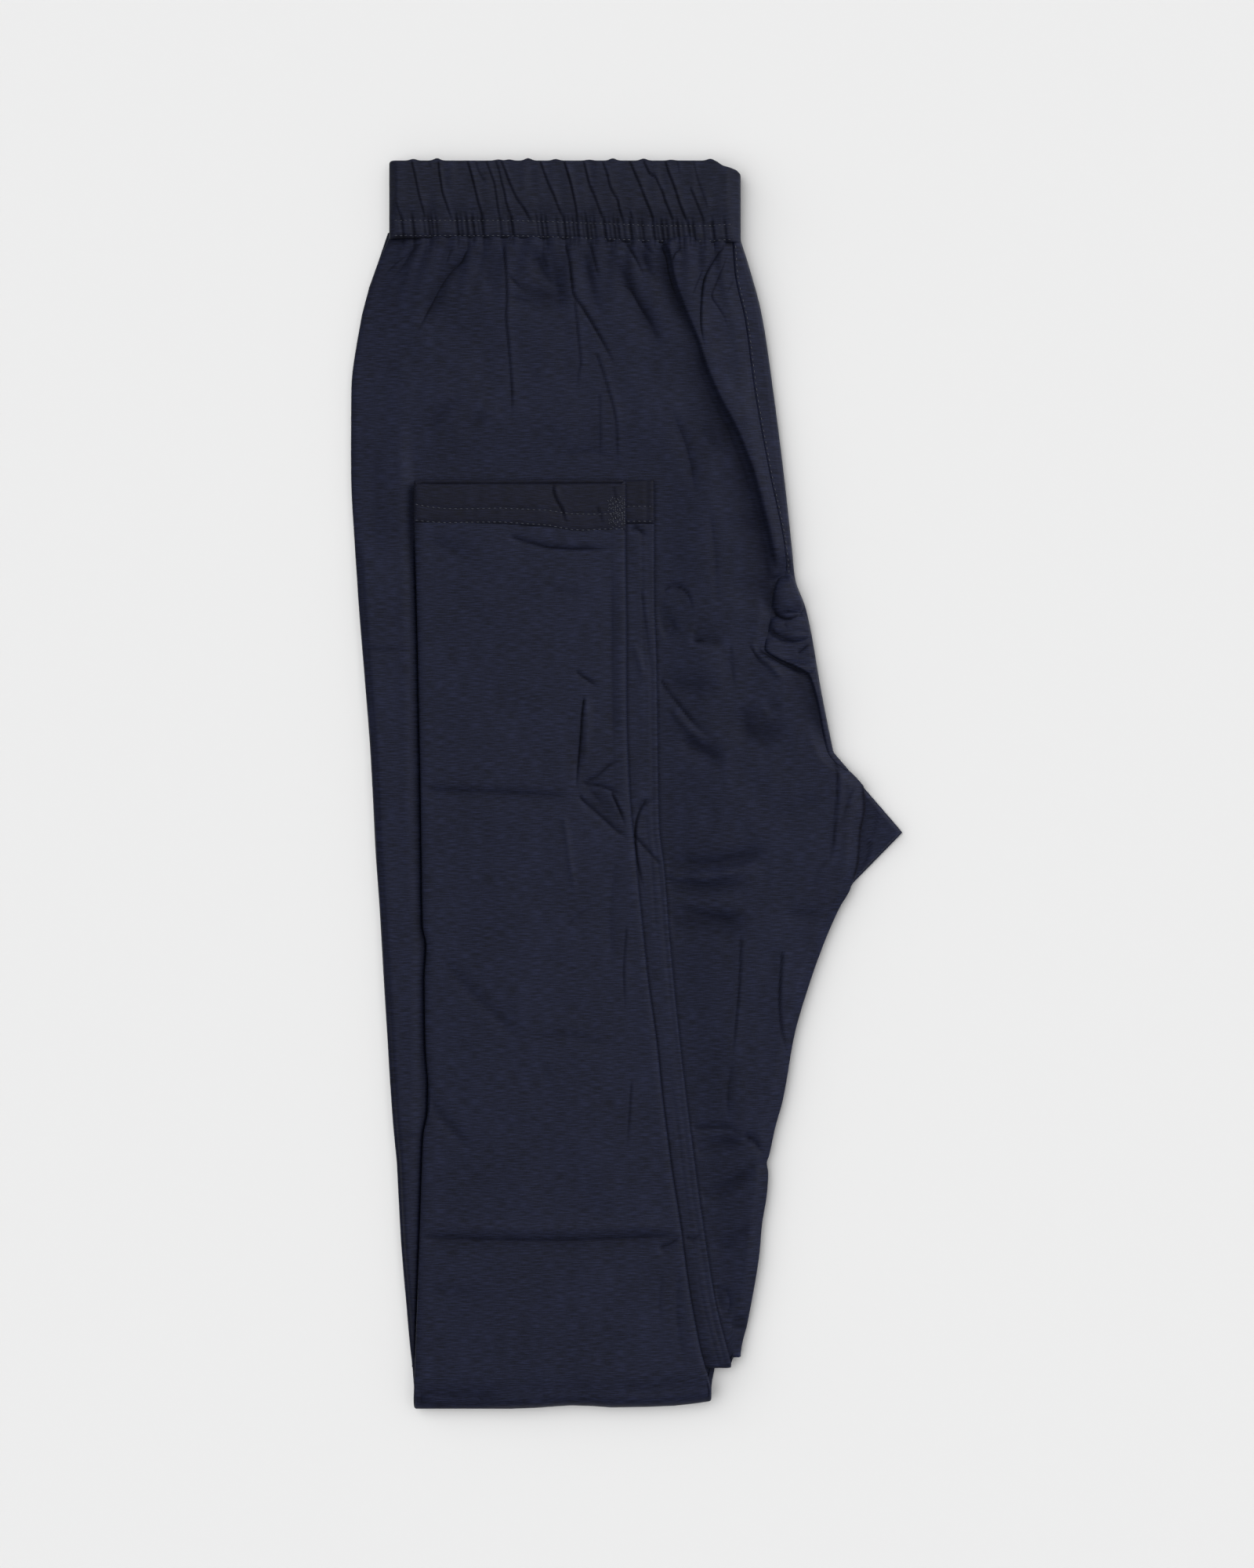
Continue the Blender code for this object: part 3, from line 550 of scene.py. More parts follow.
def cloth_finish(name, dark, light, roughness=0.62):
    """A material for the cloth, from the colour between its yarns to the colour of its slubs."""
    material, tree, shader = new_material(name)
    uv_map = tree.nodes.new("ShaderNodeUVMap")
    uv_map.uv_map = "cloth"
    uv = uv_map.outputs["UV"]
    slubs = cloth_noise(tree, uv, SLUBS)
    slubs = math_node(tree, "MULTIPLY", slubs, math_node(tree, "MULTIPLY", slubs, SLUB_CONTRAST))
    yarn = cloth_noise(tree, uv, YARN)
    warp = cloth_noise(tree, uv, WARP)
    clouds = cloth_noise(tree, uv, CLOUDS)
    warp = math_node(tree, "MULTIPLY", warp, WARP_WEIGHT)
    weave = math_node(tree, "ADD", slubs, math_node(tree, "MULTIPLY_ADD", yarn, YARN_WEIGHT, warp))
    ramp = tree.nodes.new("ShaderNodeMapRange")
    ramp.inputs["From Min"].default_value = DARK_TONE
    ramp.inputs["From Max"].default_value = LIGHT_TONE
    link(tree, math_node(tree, "MULTIPLY_ADD", clouds, CLOUD_WEIGHT, weave), ramp.inputs["Value"])
    colour = colour_mix(tree, ramp.outputs["Result"], dark, light)
    # The painted shade of creases and edges darkens the colour towards its own and makes the cloth rougher
    attribute = tree.nodes.new("ShaderNodeAttribute")
    attribute.attribute_name = "hollow"
    hollow = attribute.outputs["Fac"]
    colour = colour_mix(tree, math_node(tree, "MULTIPLY", hollow, PAINTED_SHADE_SHARE), colour, PAINTED_SHADE_COLOUR)
    link(tree, colour, shader.inputs["Base Color"])
    dullness = math_node(tree, "MULTIPLY_ADD", hollow, PAINTED_SHADE_DULLER, roughness)
    link(tree, dullness, shader.inputs["Roughness"])
    bump = tree.nodes.new("ShaderNodeBump")
    bump.inputs["Strength"].default_value = WEAVE_STRENGTH
    bump.inputs["Distance"].default_value = WEAVE_DEPTH * MM
    link(tree, weave, bump.inputs["Height"])
    link(tree, bump.outputs["Normal"], shader.inputs["Normal"])
    shader.inputs["Specular IOR Level"].default_value = 0.15
    shader.inputs["Sheen Weight"].default_value = 0.03
    shader.inputs["Sheen Roughness"].default_value = 0.5
    shader.inputs["Sheen Tint"].default_value = (0.55, 0.62, 0.9, 1.0)
    return material


leg_cloth = cloth_finish("navy_jersey", (0.0023, 0.0031, 0.0094), (0.0116, 0.0146, 0.0385))
inner_cloth = cloth_finish("navy_jersey_inside", (0.0028, 0.0038, 0.0108), (0.0127, 0.0160, 0.0415), 0.7)
hem_cloth = cloth_finish("navy_jersey_hem", (0.0015, 0.0018, 0.0058), (0.0070, 0.0084, 0.0235))
casing_cloth = cloth_finish("navy_jersey_casing", (0.0021, 0.0028, 0.0080), (0.0104, 0.0128, 0.0315))


def dress(obj, material, slot, *nodes):
    """Gives a finished piece its material and ties it to the frame."""
    obj.data.materials.clear()
    obj.data.materials.append(material)
    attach(obj, "root")
    if nodes:
        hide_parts(*nodes)
    return obj


# %% [markdown]
# ## The left leg's front
#
# This is the large panel that shows from the waist to the knee. It hangs from the gathers under the casing,
# bunches towards the end of the centre seam, and is pressed flat where the lower legs lie on it. A cloth
# simulation would make plausible folds, but not these ones. So the folds come from a table, on top of a
# gentle swell, the gathers and a little unevenness. The narrow strip left of the lower legs puffs up beside
# them, and a thin painted shadow line marks where a layer's edge lies on the cloth.

# %% Creases of the left leg's front
FRONT_CREASES = [Crease(*row) for row in [
    ([(46.6, 32.9), (51.4, 26.0), (56.2, 21.6), (64.2, 22.6), (71.1, 29.5)], 5, 6, -1.4),
    ([(14.8, 67.4), (19.3, 69.2), (23.1, 71.9)], 3, 5, -1),
    ([(11.4, 45.7), (27.9, 42.3), (43.5, 45.0)], 4, 5, -1),
    ([(-89.0, 238.2), (-96.3, 232.7), (-103.2, 227.2), (-108.7, 220.3)], 1.2, 1.6, -0.7),
    ([(-69.3, 235.5), (-72.1, 229.6), (-76.2, 225.8), (-80.7, 219.6), (-84.9, 212.0), (-88.3, 205.4),
      (-93.1, 195.8)], 1.2, 1.6, -1.2),
    ([(-76.2, 235.5), (-78.0, 231.3), (-79.0, 227.2)], 0.9, 1.2, -0.6),
    ([(-83.8, 237.5), (-83.1, 235.5), (-82.5, 234.1)], 0.8, 0.8, -0.6),
    ([(-61.8, 234.8), (-64.5, 227.9), (-65.9, 222.7)], 3, 3, -0.5),
    ([(-53.8, 237.5), (-52.8, 226.1), (-52.4, 214.1), (-52.8, 205.4), (-51.7, 193.4), (-50.4, 176.1),
      (-50.0, 160.6)], 1.1, 0.9, -1),
    ([(-52.4, 224.4), (-49.7, 221.7), (-46.6, 218.2), (-43.8, 216.8)], 0.9, 1.1, -0.9),
    ([(-37.6, 235.5), (-35.5, 229.6), (-32.4, 222.0)], 2, 1.4, -0.5),
    ([(-26.6, 237.5), (-24.8, 229.6), (-23.8, 221.0), (-22.8, 214.8), (-18.6, 208.6), (-13.5, 200.3),
      (-9.0, 192.3), (-4.1, 182.3)], 0.9, 1.6, -1.4),
    ([(-22.8, 214.1), (-21.7, 203.7), (-20.7, 193.4), (-20.0, 185.8), (-21.0, 179.6), (-21.7, 170.9)],
      0.9, 1, -0.7),
    ([(-16.2, 238.9), (-14.5, 233.0), (-12.8, 226.1), (-11.4, 220.3)], 0.9, 1.3, -0.8),
    ([(-0.3, 238.2), (3.1, 233.0), (6.6, 226.1), (8.3, 221.0)], 1, 1.8, -1.2),
    ([(7.2, 238.2), (10.0, 234.8), (13.5, 231.3)], 1, 1.2, -0.8),
    ([(-2.4, 220.3), (2.4, 216.8), (5.5, 211.3), (10.0, 204.4), (14.1, 197.5)], 1.4, 2.4, -1.2),
    ([(-13.5, 190.6), (-10.7, 183.0), (-7.6, 172.7), (-5.2, 164.0), (-4.1, 155.4), (-3.8, 138.2)],
      1.4, 1.2, -0.6),
    ([(-11.7, 172.7), (-11.4, 158.9), (-11.4, 148.5), (-12.1, 138.2)], 1.4, 1.6, -0.4),
    ([(16.9, 238.9), (19.7, 233.0), (21.7, 222.7), (25.2, 212.3), (29.0, 203.0), (32.4, 194.8),
      (35.2, 185.8), (38.6, 177.2), (42.4, 168.9), (46.9, 160.6), (50.7, 153.0), (53.8, 145.1),
      (56.6, 137.1), (59.0, 128.5), (61.4, 119.2), (63.8, 109.5), (65.9, 99.5), (67.6, 90.9)],
      0.9, 11, 2.7),
    ([(14.8, 237.5), (17.6, 232.0), (19.0, 224.4), (21.7, 215.8), (24.8, 207.2)], 1.6, 1, -1.3),
    ([(23.1, 207.2), (29.3, 189.9), (35.9, 172.7), (43.5, 157.1), (50.4, 140.9), (55.2, 124.4),
      (59.3, 107.1), (62.1, 89.9), (62.1, 72.6)], 10.5, 2.8, -2.2),
    ([(32.4, 167.5), (39.0, 153.7), (45.9, 138.2)], 12, 5, -1.2),
    ([(-91.8, 237.5), (-95.6, 231.3), (-100.4, 225.1), (-105.9, 218.9)], 2.6, 2, -1.2),
    ([(-66.6, 237.5), (-72.1, 230.6), (-79.0, 221.0), (-85.2, 208.9), (-90.0, 198.5)], 5, 2.6, -1.2),
    ([(-56.9, 237.5), (-59.0, 231.3), (-61.1, 223.7), (-62.4, 214.1)], 3.2, 2.6, -1),
    ([(-42.4, 237.5), (-39.0, 229.6), (-34.2, 221.7), (-28.6, 215.5)], 3.4, 2.8, -1.3),
    ([(-33.5, 237.5), (-32.1, 227.9), (-30.0, 216.8), (-29.3, 205.4)], 3, 2.6, -0.9),
    ([(-19.0, 237.5), (-17.6, 227.9), (-14.8, 216.8), (-10.7, 203.7)], 3.4, 2.8, -1.1),
    ([(-7.9, 237.5), (-3.8, 227.9), (2.4, 216.8), (9.3, 203.7), (16.2, 189.9)], 4.6, 2.8, -1.5),
    ([(4.5, 237.5), (9.3, 227.2), (14.8, 216.8)], 3.2, 2.6, -1.2),
    ([(13.5, 237.5), (17.6, 224.4), (23.1, 208.9), (29.3, 193.4)], 5.4, 3, -1.6),
    ([(-49.7, 218.2), (-37.6, 214.8), (-22.1, 215.5)], 4.5, 6, -1.2),
    ([(43.8, 236.8), (40.4, 232.7), (36.6, 226.8), (34.2, 221.0), (33.1, 212.3), (32.8, 203.7),
      (33.5, 196.8), (35.2, 190.6)], 1.1, 1.5, -1.4),
    ([(24.5, 235.5), (21.4, 232.7), (20.0, 227.9)], 1.2, 1.4, -1.2),
    ([(44.5, 233.0), (42.1, 226.1), (39.0, 218.9), (37.6, 214.1), (40.7, 209.2), (43.5, 204.4),
      (44.5, 198.5)], 0.9, 1.2, -0.6),
    ([(47.3, 221.7), (45.2, 217.5), (43.1, 214.1)], 0.9, 0.9, -0.5),
    ([(33.8, 226.1), (30.7, 219.2), (28.3, 212.3)], 1.2, 1.2, -0.5),
    ([(19.3, 167.5), (22.4, 158.9), (25.5, 151.3), (28.3, 141.6), (29.7, 133.0), (32.4, 124.4)],
      3.4, 2.3, -1),
    ([(35.9, 124.4), (37.6, 114.0), (39.0, 103.7), (39.7, 89.9), (40.4, 76.1)], 2.2, 2.2, -0.6),
    ([(-29.0, 144.4), (-16.2, 146.1), (-3.1, 143.0)], 2, 2.4, -0.4),
    ([(-70.4, 170.9), (-80.7, 164.0), (-87.6, 156.1), (-94.5, 150.2)], 3, 3, -0.7),
    ([(-54.9, 214.1), (-37.6, 211.3), (-22.8, 212.7)], 4, 2.5, -0.8),
    ([(-60.0, 164.0), (-68.7, 157.1), (-75.6, 152.7)], 4, 4, -0.5),
    ([(15.9, 84.4), (19.7, 87.1), (23.5, 86.8), (26.6, 84.4), (28.6, 80.9), (30.0, 75.4)], 1.4, 1.4, -1.2),
    ([(16.2, 78.8), (20.4, 79.5), (24.5, 81.6)], 2, 2, 0.3),
    ([(27.9, 63.7), (34.8, 62.6), (40.0, 62.3), (45.9, 62.6)], 1.0, 6, -1.5),
    ([(45.9, 62.3), (46.6, 55.4), (47.3, 47.8), (48.0, 39.8)], 1.4, 2.4, -0.4),
    ([(14.8, 47.1), (18.3, 41.6), (23.1, 35.4), (27.9, 29.5), (32.8, 24.3), (39.0, 20.2)], 1.2, 1.4, -1.4),
    ([(20.4, 32.9), (26.2, 26.0), (32.4, 20.2), (38.3, 16.7)], 1.6, 1.6, 0.7),
    ([(22.4, 21.6), (29.7, 16.4), (36.6, 12.9), (45.2, 10.5)], 3.8, 3.2, -1.8),
    ([(57.6, 58.8), (63.8, 51.9), (70.4, 44.3)], 1.4, 1.8, 1),
    ([(53.8, 62.3), (57.6, 56.1), (62.4, 50.2)], 1.4, 1.2, -0.8),
    ([(57.6, 60.2), (60.7, 57.4), (65.9, 54.3), (71.1, 51.6), (76.2, 49.2), (79.7, 45.0)], 1.2, 1.2, -1.5),
    ([(69.3, 51.2), (75.6, 45.7), (79.0, 38.1), (83.1, 26.0), (87.3, 15.7)], 5, 3, -1.5),
    ([(50.4, 36.4), (52.1, 27.8), (53.1, 17.4)], 3.5, 3.5, -0.7),
    ([(60.7, 32.9), (65.2, 34.0), (69.3, 34.7)], 3, 3, -0.5),
    ([(91.4, 15.7), (92.5, 8.8), (93.1, 1.9), (92.8, -6.7), (92.1, -15.4), (91.1, -25.7), (90.0, -32.6),
      (87.3, -37.8)], 0.9, 1.2, -0.9),
    ([(93.8, 5.3), (94.5, -1.6), (93.5, -13.6), (92.5, -27.4)], 0.9, 1.1, 0.6),
    ([(101.1, 0.2), (98.0, -6.7), (95.2, -15.4), (93.5, -24.0)], 0.9, 1, -0.5),
    ([(91.1, -31.6), (86.6, -37.8), (82.5, -45.4)], 1.4, 1.4, 0.6),
    ([(84.9, -3.3), (76.2, -10.2), (64.2, -15.4)], 3, 3, -0.4),
    ([(12.8, -35.7), (22.8, -36.4), (36.6, -35.4), (50.4, -32.9), (64.2, -29.2)], 2.4, 3.4, -1.9),
    ([(17.6, -39.8), (36.6, -40.5), (57.3, -36.1)], 1.8, 1.8, 0.9),
    ([(13.5, -45.0), (24.5, -45.7), (36.6, -45.7), (55.5, -43.3)], 3, 2.8, -1.7),
    ([(14.8, -57.1), (26.2, -58.5), (38.3, -59.9), (56.2, -59.2)], 6.5, 3.2, -2.2),
    ([(67.6, -57.1), (79.7, -58.1), (88.7, -55.0)], 3, 3, -0.6),
    ([(50.7, -66.1), (49.7, -90.2), (46.9, -120.6)], 1.4, 1.1, -0.7),
    ([(46.9, -120.6), (44.5, -137.8), (46.2, -152.3)], 2.2, 2.2, -0.6),
    ([(68.7, -73.0), (67.6, -99.9), (71.4, -121.3)], 1.4, 1.6, -1),
    ([(26.2, -151.6), (43.5, -150.9), (53.1, -154.7)], 1.6, 1.6, -0.9),
    ([(51.1, -154.0), (56.8, -157.6), (61.3, -163.6)], 1.9, 1.9, -1.7),
    ([(29.0, -162.0), (41.5, -159.0), (56.2, -157.5)], 2.6, 3, -1.8),
    ([(30.7, -184.1), (45.2, -176.8), (61.1, -166.1)], 2.4, 2.4, -1.5),
    ([(36.6, -207.5), (46.9, -200.6), (57.6, -193.0)], 2.4, 2.4, -0.9),
    ([(40.2, -220.9), (42.4, -227.6), (45.6, -232.7)], 2.4, 2.4, -3.2),
    ([(45.2, -237.2), (49.6, -238.4), (56.8, -239.3)], 2.4, 2.6, -2),
    ([(-116.6, 59.5), (-104.9, 58.8), (-92.8, 59.5)], 1.3, 1, -0.6),
    ([(-103.8, -155.1), (-96.9, -155.1), (-90.0, -153.7)], 1.2, 1, -0.5),
    ([(-110.1, 152.0), (-111.4, 124.4), (-108.7, 96.8)], 4, 4, -0.3),
]]
print(len(FRONT_CREASES), "creases on the left leg's front")

# %% Sizes of the left front's swell and gathers
BAND_TOP = 274.5
BAND_LOW = 240.0
CUFF_TOP = 134.0
PANEL_TOP = 243.0
GATHERS = [-99.0, -92.8, -86.6, -78.3, -68.7, -61.8, -53.8, -45.2, -35.9, -26.6]
GATHERS += [-16.2, -7.2, 0.3, 7.9, 15.9, 23.8, 31.4, 38.3, 45.2]
GATHER_HEIGHT = 0.9
GATHER_REACH = 34.0
BODY_SWELL = 2.0
BAND_SWELL = 2.9
BAND_SWELL_REACH = 62.0
SEAM_SHARE = 0.72
SEAM_SHARE_FROM = 91.5
SEAM_SHARE_REACH = 9.0
FRONT_BUMPS = [Bumps(0.55, 26.0, 34.0, 3), Bumps(0.24, 9.0, 13.0, 4), Bumps(0.07, 3.4, 5.0, 5)]
FLATTEST = -0.4

# How far beyond the lower legs the cloth is free of them, and from there how far until it swells fully
SHIN_MARGIN = 0.5
LEFT_MARGIN = 1.0
FREE_WITHIN = 1.6
SWELLS_RIGHT = 26.0
SWELLS_LEFT = 7.0
SWELLS_ABOVE = 30.0

# How far from the panel's edges swell, creases and painted shade reach their full strength, and the seam's
# groove
LEFT_SWELL = (2.6, 24.0)
SWELL_FROM_SEAM = 6.0
CREASE_FROM_LEFT = 2.5
CREASE_FROM_SEAM = 2.2
DARK_FROM_SEAM = 0.6
GROOVE_DEPTH = 0.15
GROOVE_WIDTH = 0.8

# Under the casing the panel dives and is painted a little darker as shade, and the stitches pull it into tight
# gathers
DIVE_DEPTH = 1.6
DIVE_START = 0.2
DIVE_REACH = 1.6
PULLED_REACH = 8.0
PULLED_SHARE = 0.7
BAND_SHADE = 0.2
BAND_SHADE_REACH = 40.0

# The painted shadow lines beside the strip and on the fork, and the puffed cloth left of the lower legs
STRIP_SHADE = 0.36
FORK_SHADE = 0.95
SHADE_WIDTH = 0.8
PUFF = 3.0
PUFF_FROM = 112.0
PUFF_REACH = 26.0
PUFF_RISE = 3.6
PUFF_FALL = 19.0
PUFF_STEP = 0.9

# %% Swell and gathers
# Where the tight little gathers of the casing's stitching lie
RUCHES = [-98.0, -93.2, -88.4, -86.2, -84.9, -83.1, -73.8, -72.1, -69.7, -66.9, -64.5, -62.8]
RUCHES += [-54.9, -51.1, -49.7, -38.6, -36.6, -34.8, -30.0, -26.6, -24.8, -22.8, -21.1, -18.6]
RUCHES += [-16.9, -15.2, -13.5, -9.0, -6.9, -4.8, -3.1, -0.7, 2.4, 6.2, 7.6, 12.4, 14.1, 16.2]
RUCHES += [18.3, 21.0, 23.1, 25.2, 27.9, 30.0, 34.2, 38.6, 43.8]
RUCHE_WIDTH = 0.62


def ruche_height(x):
    """The tight gathers as narrow valleys of uneven depth."""
    height = np.zeros(np.shape(x))
    for count, place in enumerate(RUCHES):
        depth = 0.7 + 0.3 * math.sin(2.4 * count)
        height -= depth * bell(x - place, RUCHE_WIDTH)
    return height


def front_swell(y):
    """How far the panel bulges: most under the casing, where the gathers fill it."""
    return BODY_SWELL + BAND_SWELL * smooth((y - BAND_LOW + BAND_SWELL_REACH) / BAND_SWELL_REACH)


def seam_share(y):
    """How much of the bulge is left at the centre seam. It sinks to nothing beside the bunched seam end."""
    return SEAM_SHARE * smooth((y - SEAM_SHARE_FROM) / SEAM_SHARE_REACH)


def dome(distances, start=3.0, reach=40.0):
    """A gentle swell by the distances from the edges: 0 at an edge, soon a third, and 1 far from them all."""
    share = 1.0
    for distance in distances:
        share = share * smooth(distance / start) * (0.3 + 0.7 * smooth(distance / reach))
    return share


def between_edges(x, left, right, reach=1.8):
    """1 between two edges, and less within reach of either."""
    return smooth((x - left) / reach) * smooth((right - x) / reach)


def edge_line(distance, width=0.6):
    """The thin painted shadow line where an edge lies on cloth, by the distance from the edge."""
    return bell(distance - 0.3, width)


# %% Swell, gathers and creases together
def free_of_shins(x, y):
    """How free the cloth is of the lower legs on it, from 0 to 1: for creases, and for the swell."""
    shin_left, shin_right = read(LEFT_SHIN, "left", y), read(LEFT_SHIN, "right", y)
    beside = x - shin_right - SHIN_MARGIN
    above = y - CUFF_TOP - SHIN_MARGIN
    clear = np.maximum(np.maximum(beside, shin_left - LEFT_MARGIN - x), above)
    swells_right = smooth(beside / SWELLS_RIGHT)
    swells_left = smooth((shin_left - 0.6 - x) / SWELLS_LEFT)
    swells_above = smooth(above / SWELLS_ABOVE)
    swells = 1.0 - (1.0 - swells_right) * (1.0 - swells_left) * (1.0 - swells_above)
    return smooth(clear / FREE_WITHIN), swells


def gather_height(x, y, left, right):
    """The loose gathers that hang from the casing: they spread with the panel and die out downwards."""
    hung = BODY[0].left + (x - left) / (right - left) * (CENTRE_SEAM[0].right - BODY[0].left)
    count = np.interp(hung, GATHERS, range(len(GATHERS)))
    near = smooth((y - BAND_LOW + GATHER_REACH) / GATHER_REACH)
    return GATHER_HEIGHT * near * (0.5 - 0.5 * np.cos(2.0 * math.pi * count))


def edge_shades(x, y, right):
    """The painted shadow lines where the strip's edge lies on the panel, and where the panel ends on the fork.
    """
    below_cuff = smooth((CUFF_TOP - y) / 2.0)
    at_strip = STRIP_SHADE * below_cuff * edge_line(x - read(LEFT_SHIN, "right", y), SHADE_WIDTH)
    on_fork = smooth((1.0 - y) / 5.0) * smooth((y - FORK_END) / 4.0)
    return np.maximum(at_strip, FORK_SHADE * on_fork * edge_line(right - x, SHADE_WIDTH))


def strip_puff(x, y, left):
    """How far the cloth left of the lower legs puffs up: steeply at its edge, then sloping towards them."""
    sloping = smooth((x - left) / PUFF_RISE) * (1.0 - 0.4 * smooth((x - left) / PUFF_FALL))
    beside = smooth((shins_left(y) - 0.2 - x) / PUFF_STEP)
    return PUFF * smooth((PUFF_FROM - y) / PUFF_REACH) * sloping * beside


def front_relief(x, y):
    """How far the left front stands above its flat height. It is flat where the shins lie on it."""
    left, right = body_left(y), front_right(y)
    crease_mask, swell_mask = free_of_shins(x, y)
    at_seam = seam_share(y)
    right_mask = at_seam + (1.0 - at_seam) * smooth((right - x) / SWELL_FROM_SEAM)
    swell_mask = swell_mask * dome([x - left], *LEFT_SWELL) * right_mask
    crease_mask = crease_mask * smooth((x - left) / CREASE_FROM_LEFT)
    painted_shade_mask = crease_mask * smooth((right - x) / DARK_FROM_SEAM)
    crease_mask = crease_mask * np.maximum(smooth((right - x) / CREASE_FROM_SEAM), at_seam)
    swell = front_swell(y) + gather_height(x, y, left, right) + noise_layers(x, y, FRONT_BUMPS)
    pulled = ruche_height(x) * smooth((y - BAND_LOW + PULLED_REACH) / PULLED_REACH)
    creased, hollow = crease_relief(FRONT_CREASES, x, y)
    height = swell_mask * swell + crease_mask * (PULLED_SHARE * pulled + creased)
    height -= GROOVE_DEPTH * at_seam * bell(right - x, GROOVE_WIDTH)
    height -= DIVE_DEPTH * smooth((y - BAND_LOW + DIVE_START) / DIVE_REACH)
    height += strip_puff(x, y, left)
    # Painted shade: that of the creases and of the tight gathers' valleys, a little under the casing, and the
    # shadow lines at the edges
    under_band = BAND_SHADE * smooth((y - BAND_LOW + BAND_SHADE_REACH) / BAND_SHADE_REACH)
    hollow = painted_shade_mask * np.maximum(np.maximum(hollow, -PULLED_SHARE * pulled), under_band)
    hollow = np.maximum(hollow, edge_shades(x, y, right))
    return np.maximum(height, FLATTEST), hollow


# %% The left leg's front as two meshes
FRONT_Z = 4.9
FRONT_ROLL = 0.9
SEAM_ROLL = 0.35
LEFT_FOLD = -256.8
LEFT_SHIN_Z = 7.6
LEFT_FOLD_RADIUS = (LEFT_SHIN_Z - FRONT_Z) / 2.0
LEFT_FOLD_Y = LEFT_FOLD + LEFT_FOLD_RADIUS + CLOTH / 2
KNEE_STEPS = 6
SPLIT = CUFF_TOP


def nose(x, y):
    """The fold of the left front stops short of the shin's, so the bundle's corner goes up in steps."""
    return 4.7 * smooth((x - 44.8) / 2.4) * smooth((-236.0 - y) / 16.0)


def front_panel(name, ys, rise, anchors, counts):
    """Part of the left front: rows at the heights ys, lifted by rise where they turn up at the knee."""
    own_edge = smooth((FORK_END - 4.0 - ys) / 12.0)
    radius_right = SEAM_ROLL + (FRONT_ROLL - SEAM_ROLL) * own_edge
    shares = share_columns(anchors, counts)
    x, drop = rolled_rows(anchors[0], anchors[-1], FRONT_ROLL, radius_right, shares)
    y = spread(ys, x)
    inner = np.clip(x, anchors[0][:, None] + FRONT_ROLL, anchors[-1][:, None] - radius_right[:, None])
    lift, hollow = front_relief(inner, y)
    lift = lift * (rise[:, None] == 0.0)
    points = np.stack([x, y + nose(x, y), FRONT_Z + rise[:, None] - drop + lift], axis=-1)
    cloth = np.stack([x, -y - rise[:, None]], axis=-1)
    return with_wall(grid_object(name, points, cloth, hollow, flip=True))


def front_edges(ys):
    """Left and right end of the flat part for each row, with a slightly uneven left edge."""
    wander = 0.35 + 0.3 * soft_noise(ys, ys * 0.0, 22.0, 1.0, 8)
    left = body_left(ys) + CLOTH / 2 + wander
    return left, front_right(ys) - CLOTH / 2 * smooth((FORK_END + 6.0 - ys) / 20.0)


def make_left_top():
    """From under the casing down to the level of the cuffs, where all of it shows."""
    ys = np.linspace(PANEL_TOP, SPLIT, 150)
    left, right = front_edges(ys)
    anchors = [left, 12.0 + 0.0 * ys, right]
    return front_panel("left_leg_top", ys, 0.0 * ys, anchors, [176, 120])


def make_left_thigh():
    """From there to the knee fold, mostly under the turned-up legs."""
    turns = np.linspace(0.0, 0.5 * math.pi, KNEE_STEPS)
    flat = np.linspace(SPLIT, LEFT_FOLD_Y, 330)
    ys = np.concatenate([flat[:-1], LEFT_FOLD_Y - LEFT_FOLD_RADIUS * np.sin(turns)])
    rise = np.concatenate([0.0 * flat[:-1], LEFT_FOLD_RADIUS * (1 - np.cos(turns))])
    left, right = front_edges(ys)
    shins = shins_left(ys)
    beside_left = np.maximum(shins - 3.0, left + 0.35 * (shins - left))
    beside_right = read(LEFT_SHIN, "right", ys) - 3.0
    anchors = [left, beside_left, shins + 0.6, beside_right, right]
    return front_panel("left_leg_thigh", ys, rise, anchors, [14, 9, 6, 82])


left_top = dress(make_left_top(), leg_cloth, "leg_cloth", "leg_left")
left_thigh = dress(make_left_thigh(), leg_cloth, "leg_cloth", "leg_left")

# %% [markdown]
# ## The left leg's lower half
#
# Below the knee the left leg is turned up and lies on its own front. The right leg covers nearly all of it,
# and a strip along its inseam shows, with two faint lines: the edges of the seam allowance inside. Its
# columns crowd into that strip, so the faces go where they are seen.

# %% The strip along the left inseam
STRIP_CREASES = [Crease(*row) for row in [
    ([(9.3, -6.0), (5.5, -12.9), (4.1, -20.5), (4.5, -30.9), (6.6, -41.2), (8.6, -48.1)], 1, 1, -1.1),
    ([(2.4, -21.2), (10.0, -29.5), (17.2, -37.4)], 1.1, 1.1, -1),
    ([(4.5, -11.6), (8.3, -8.5), (13.5, -6.0)], 1.2, 1.2, -0.8),
    ([(6.6, 86.4), (9.3, 65.7), (10.7, 48.5)], 1.4, 1.4, -0.4),
    ([(3.1, 62.3), (6.6, 51.9), (8.6, 41.6)], 1.4, 1.4, 0.4),
    ([(25.2, -199.2), (29.3, -199.9), (33.5, -197.2)], 1.6, 1, -0.8),
    ([(1.4, 111.6), (4.5, 112.6), (7.2, 110.6), (10.0, 109.2)], 1.6, 1, -1.2),
]]
ALLOWANCE_LINES = (2.8, 5.6)
ALLOWANCE_WIDTH = 0.7
LEFT_SHIN_ROLL = 0.6
CUFF_LOW = 112.3
FOLD_DROOP = 0.8


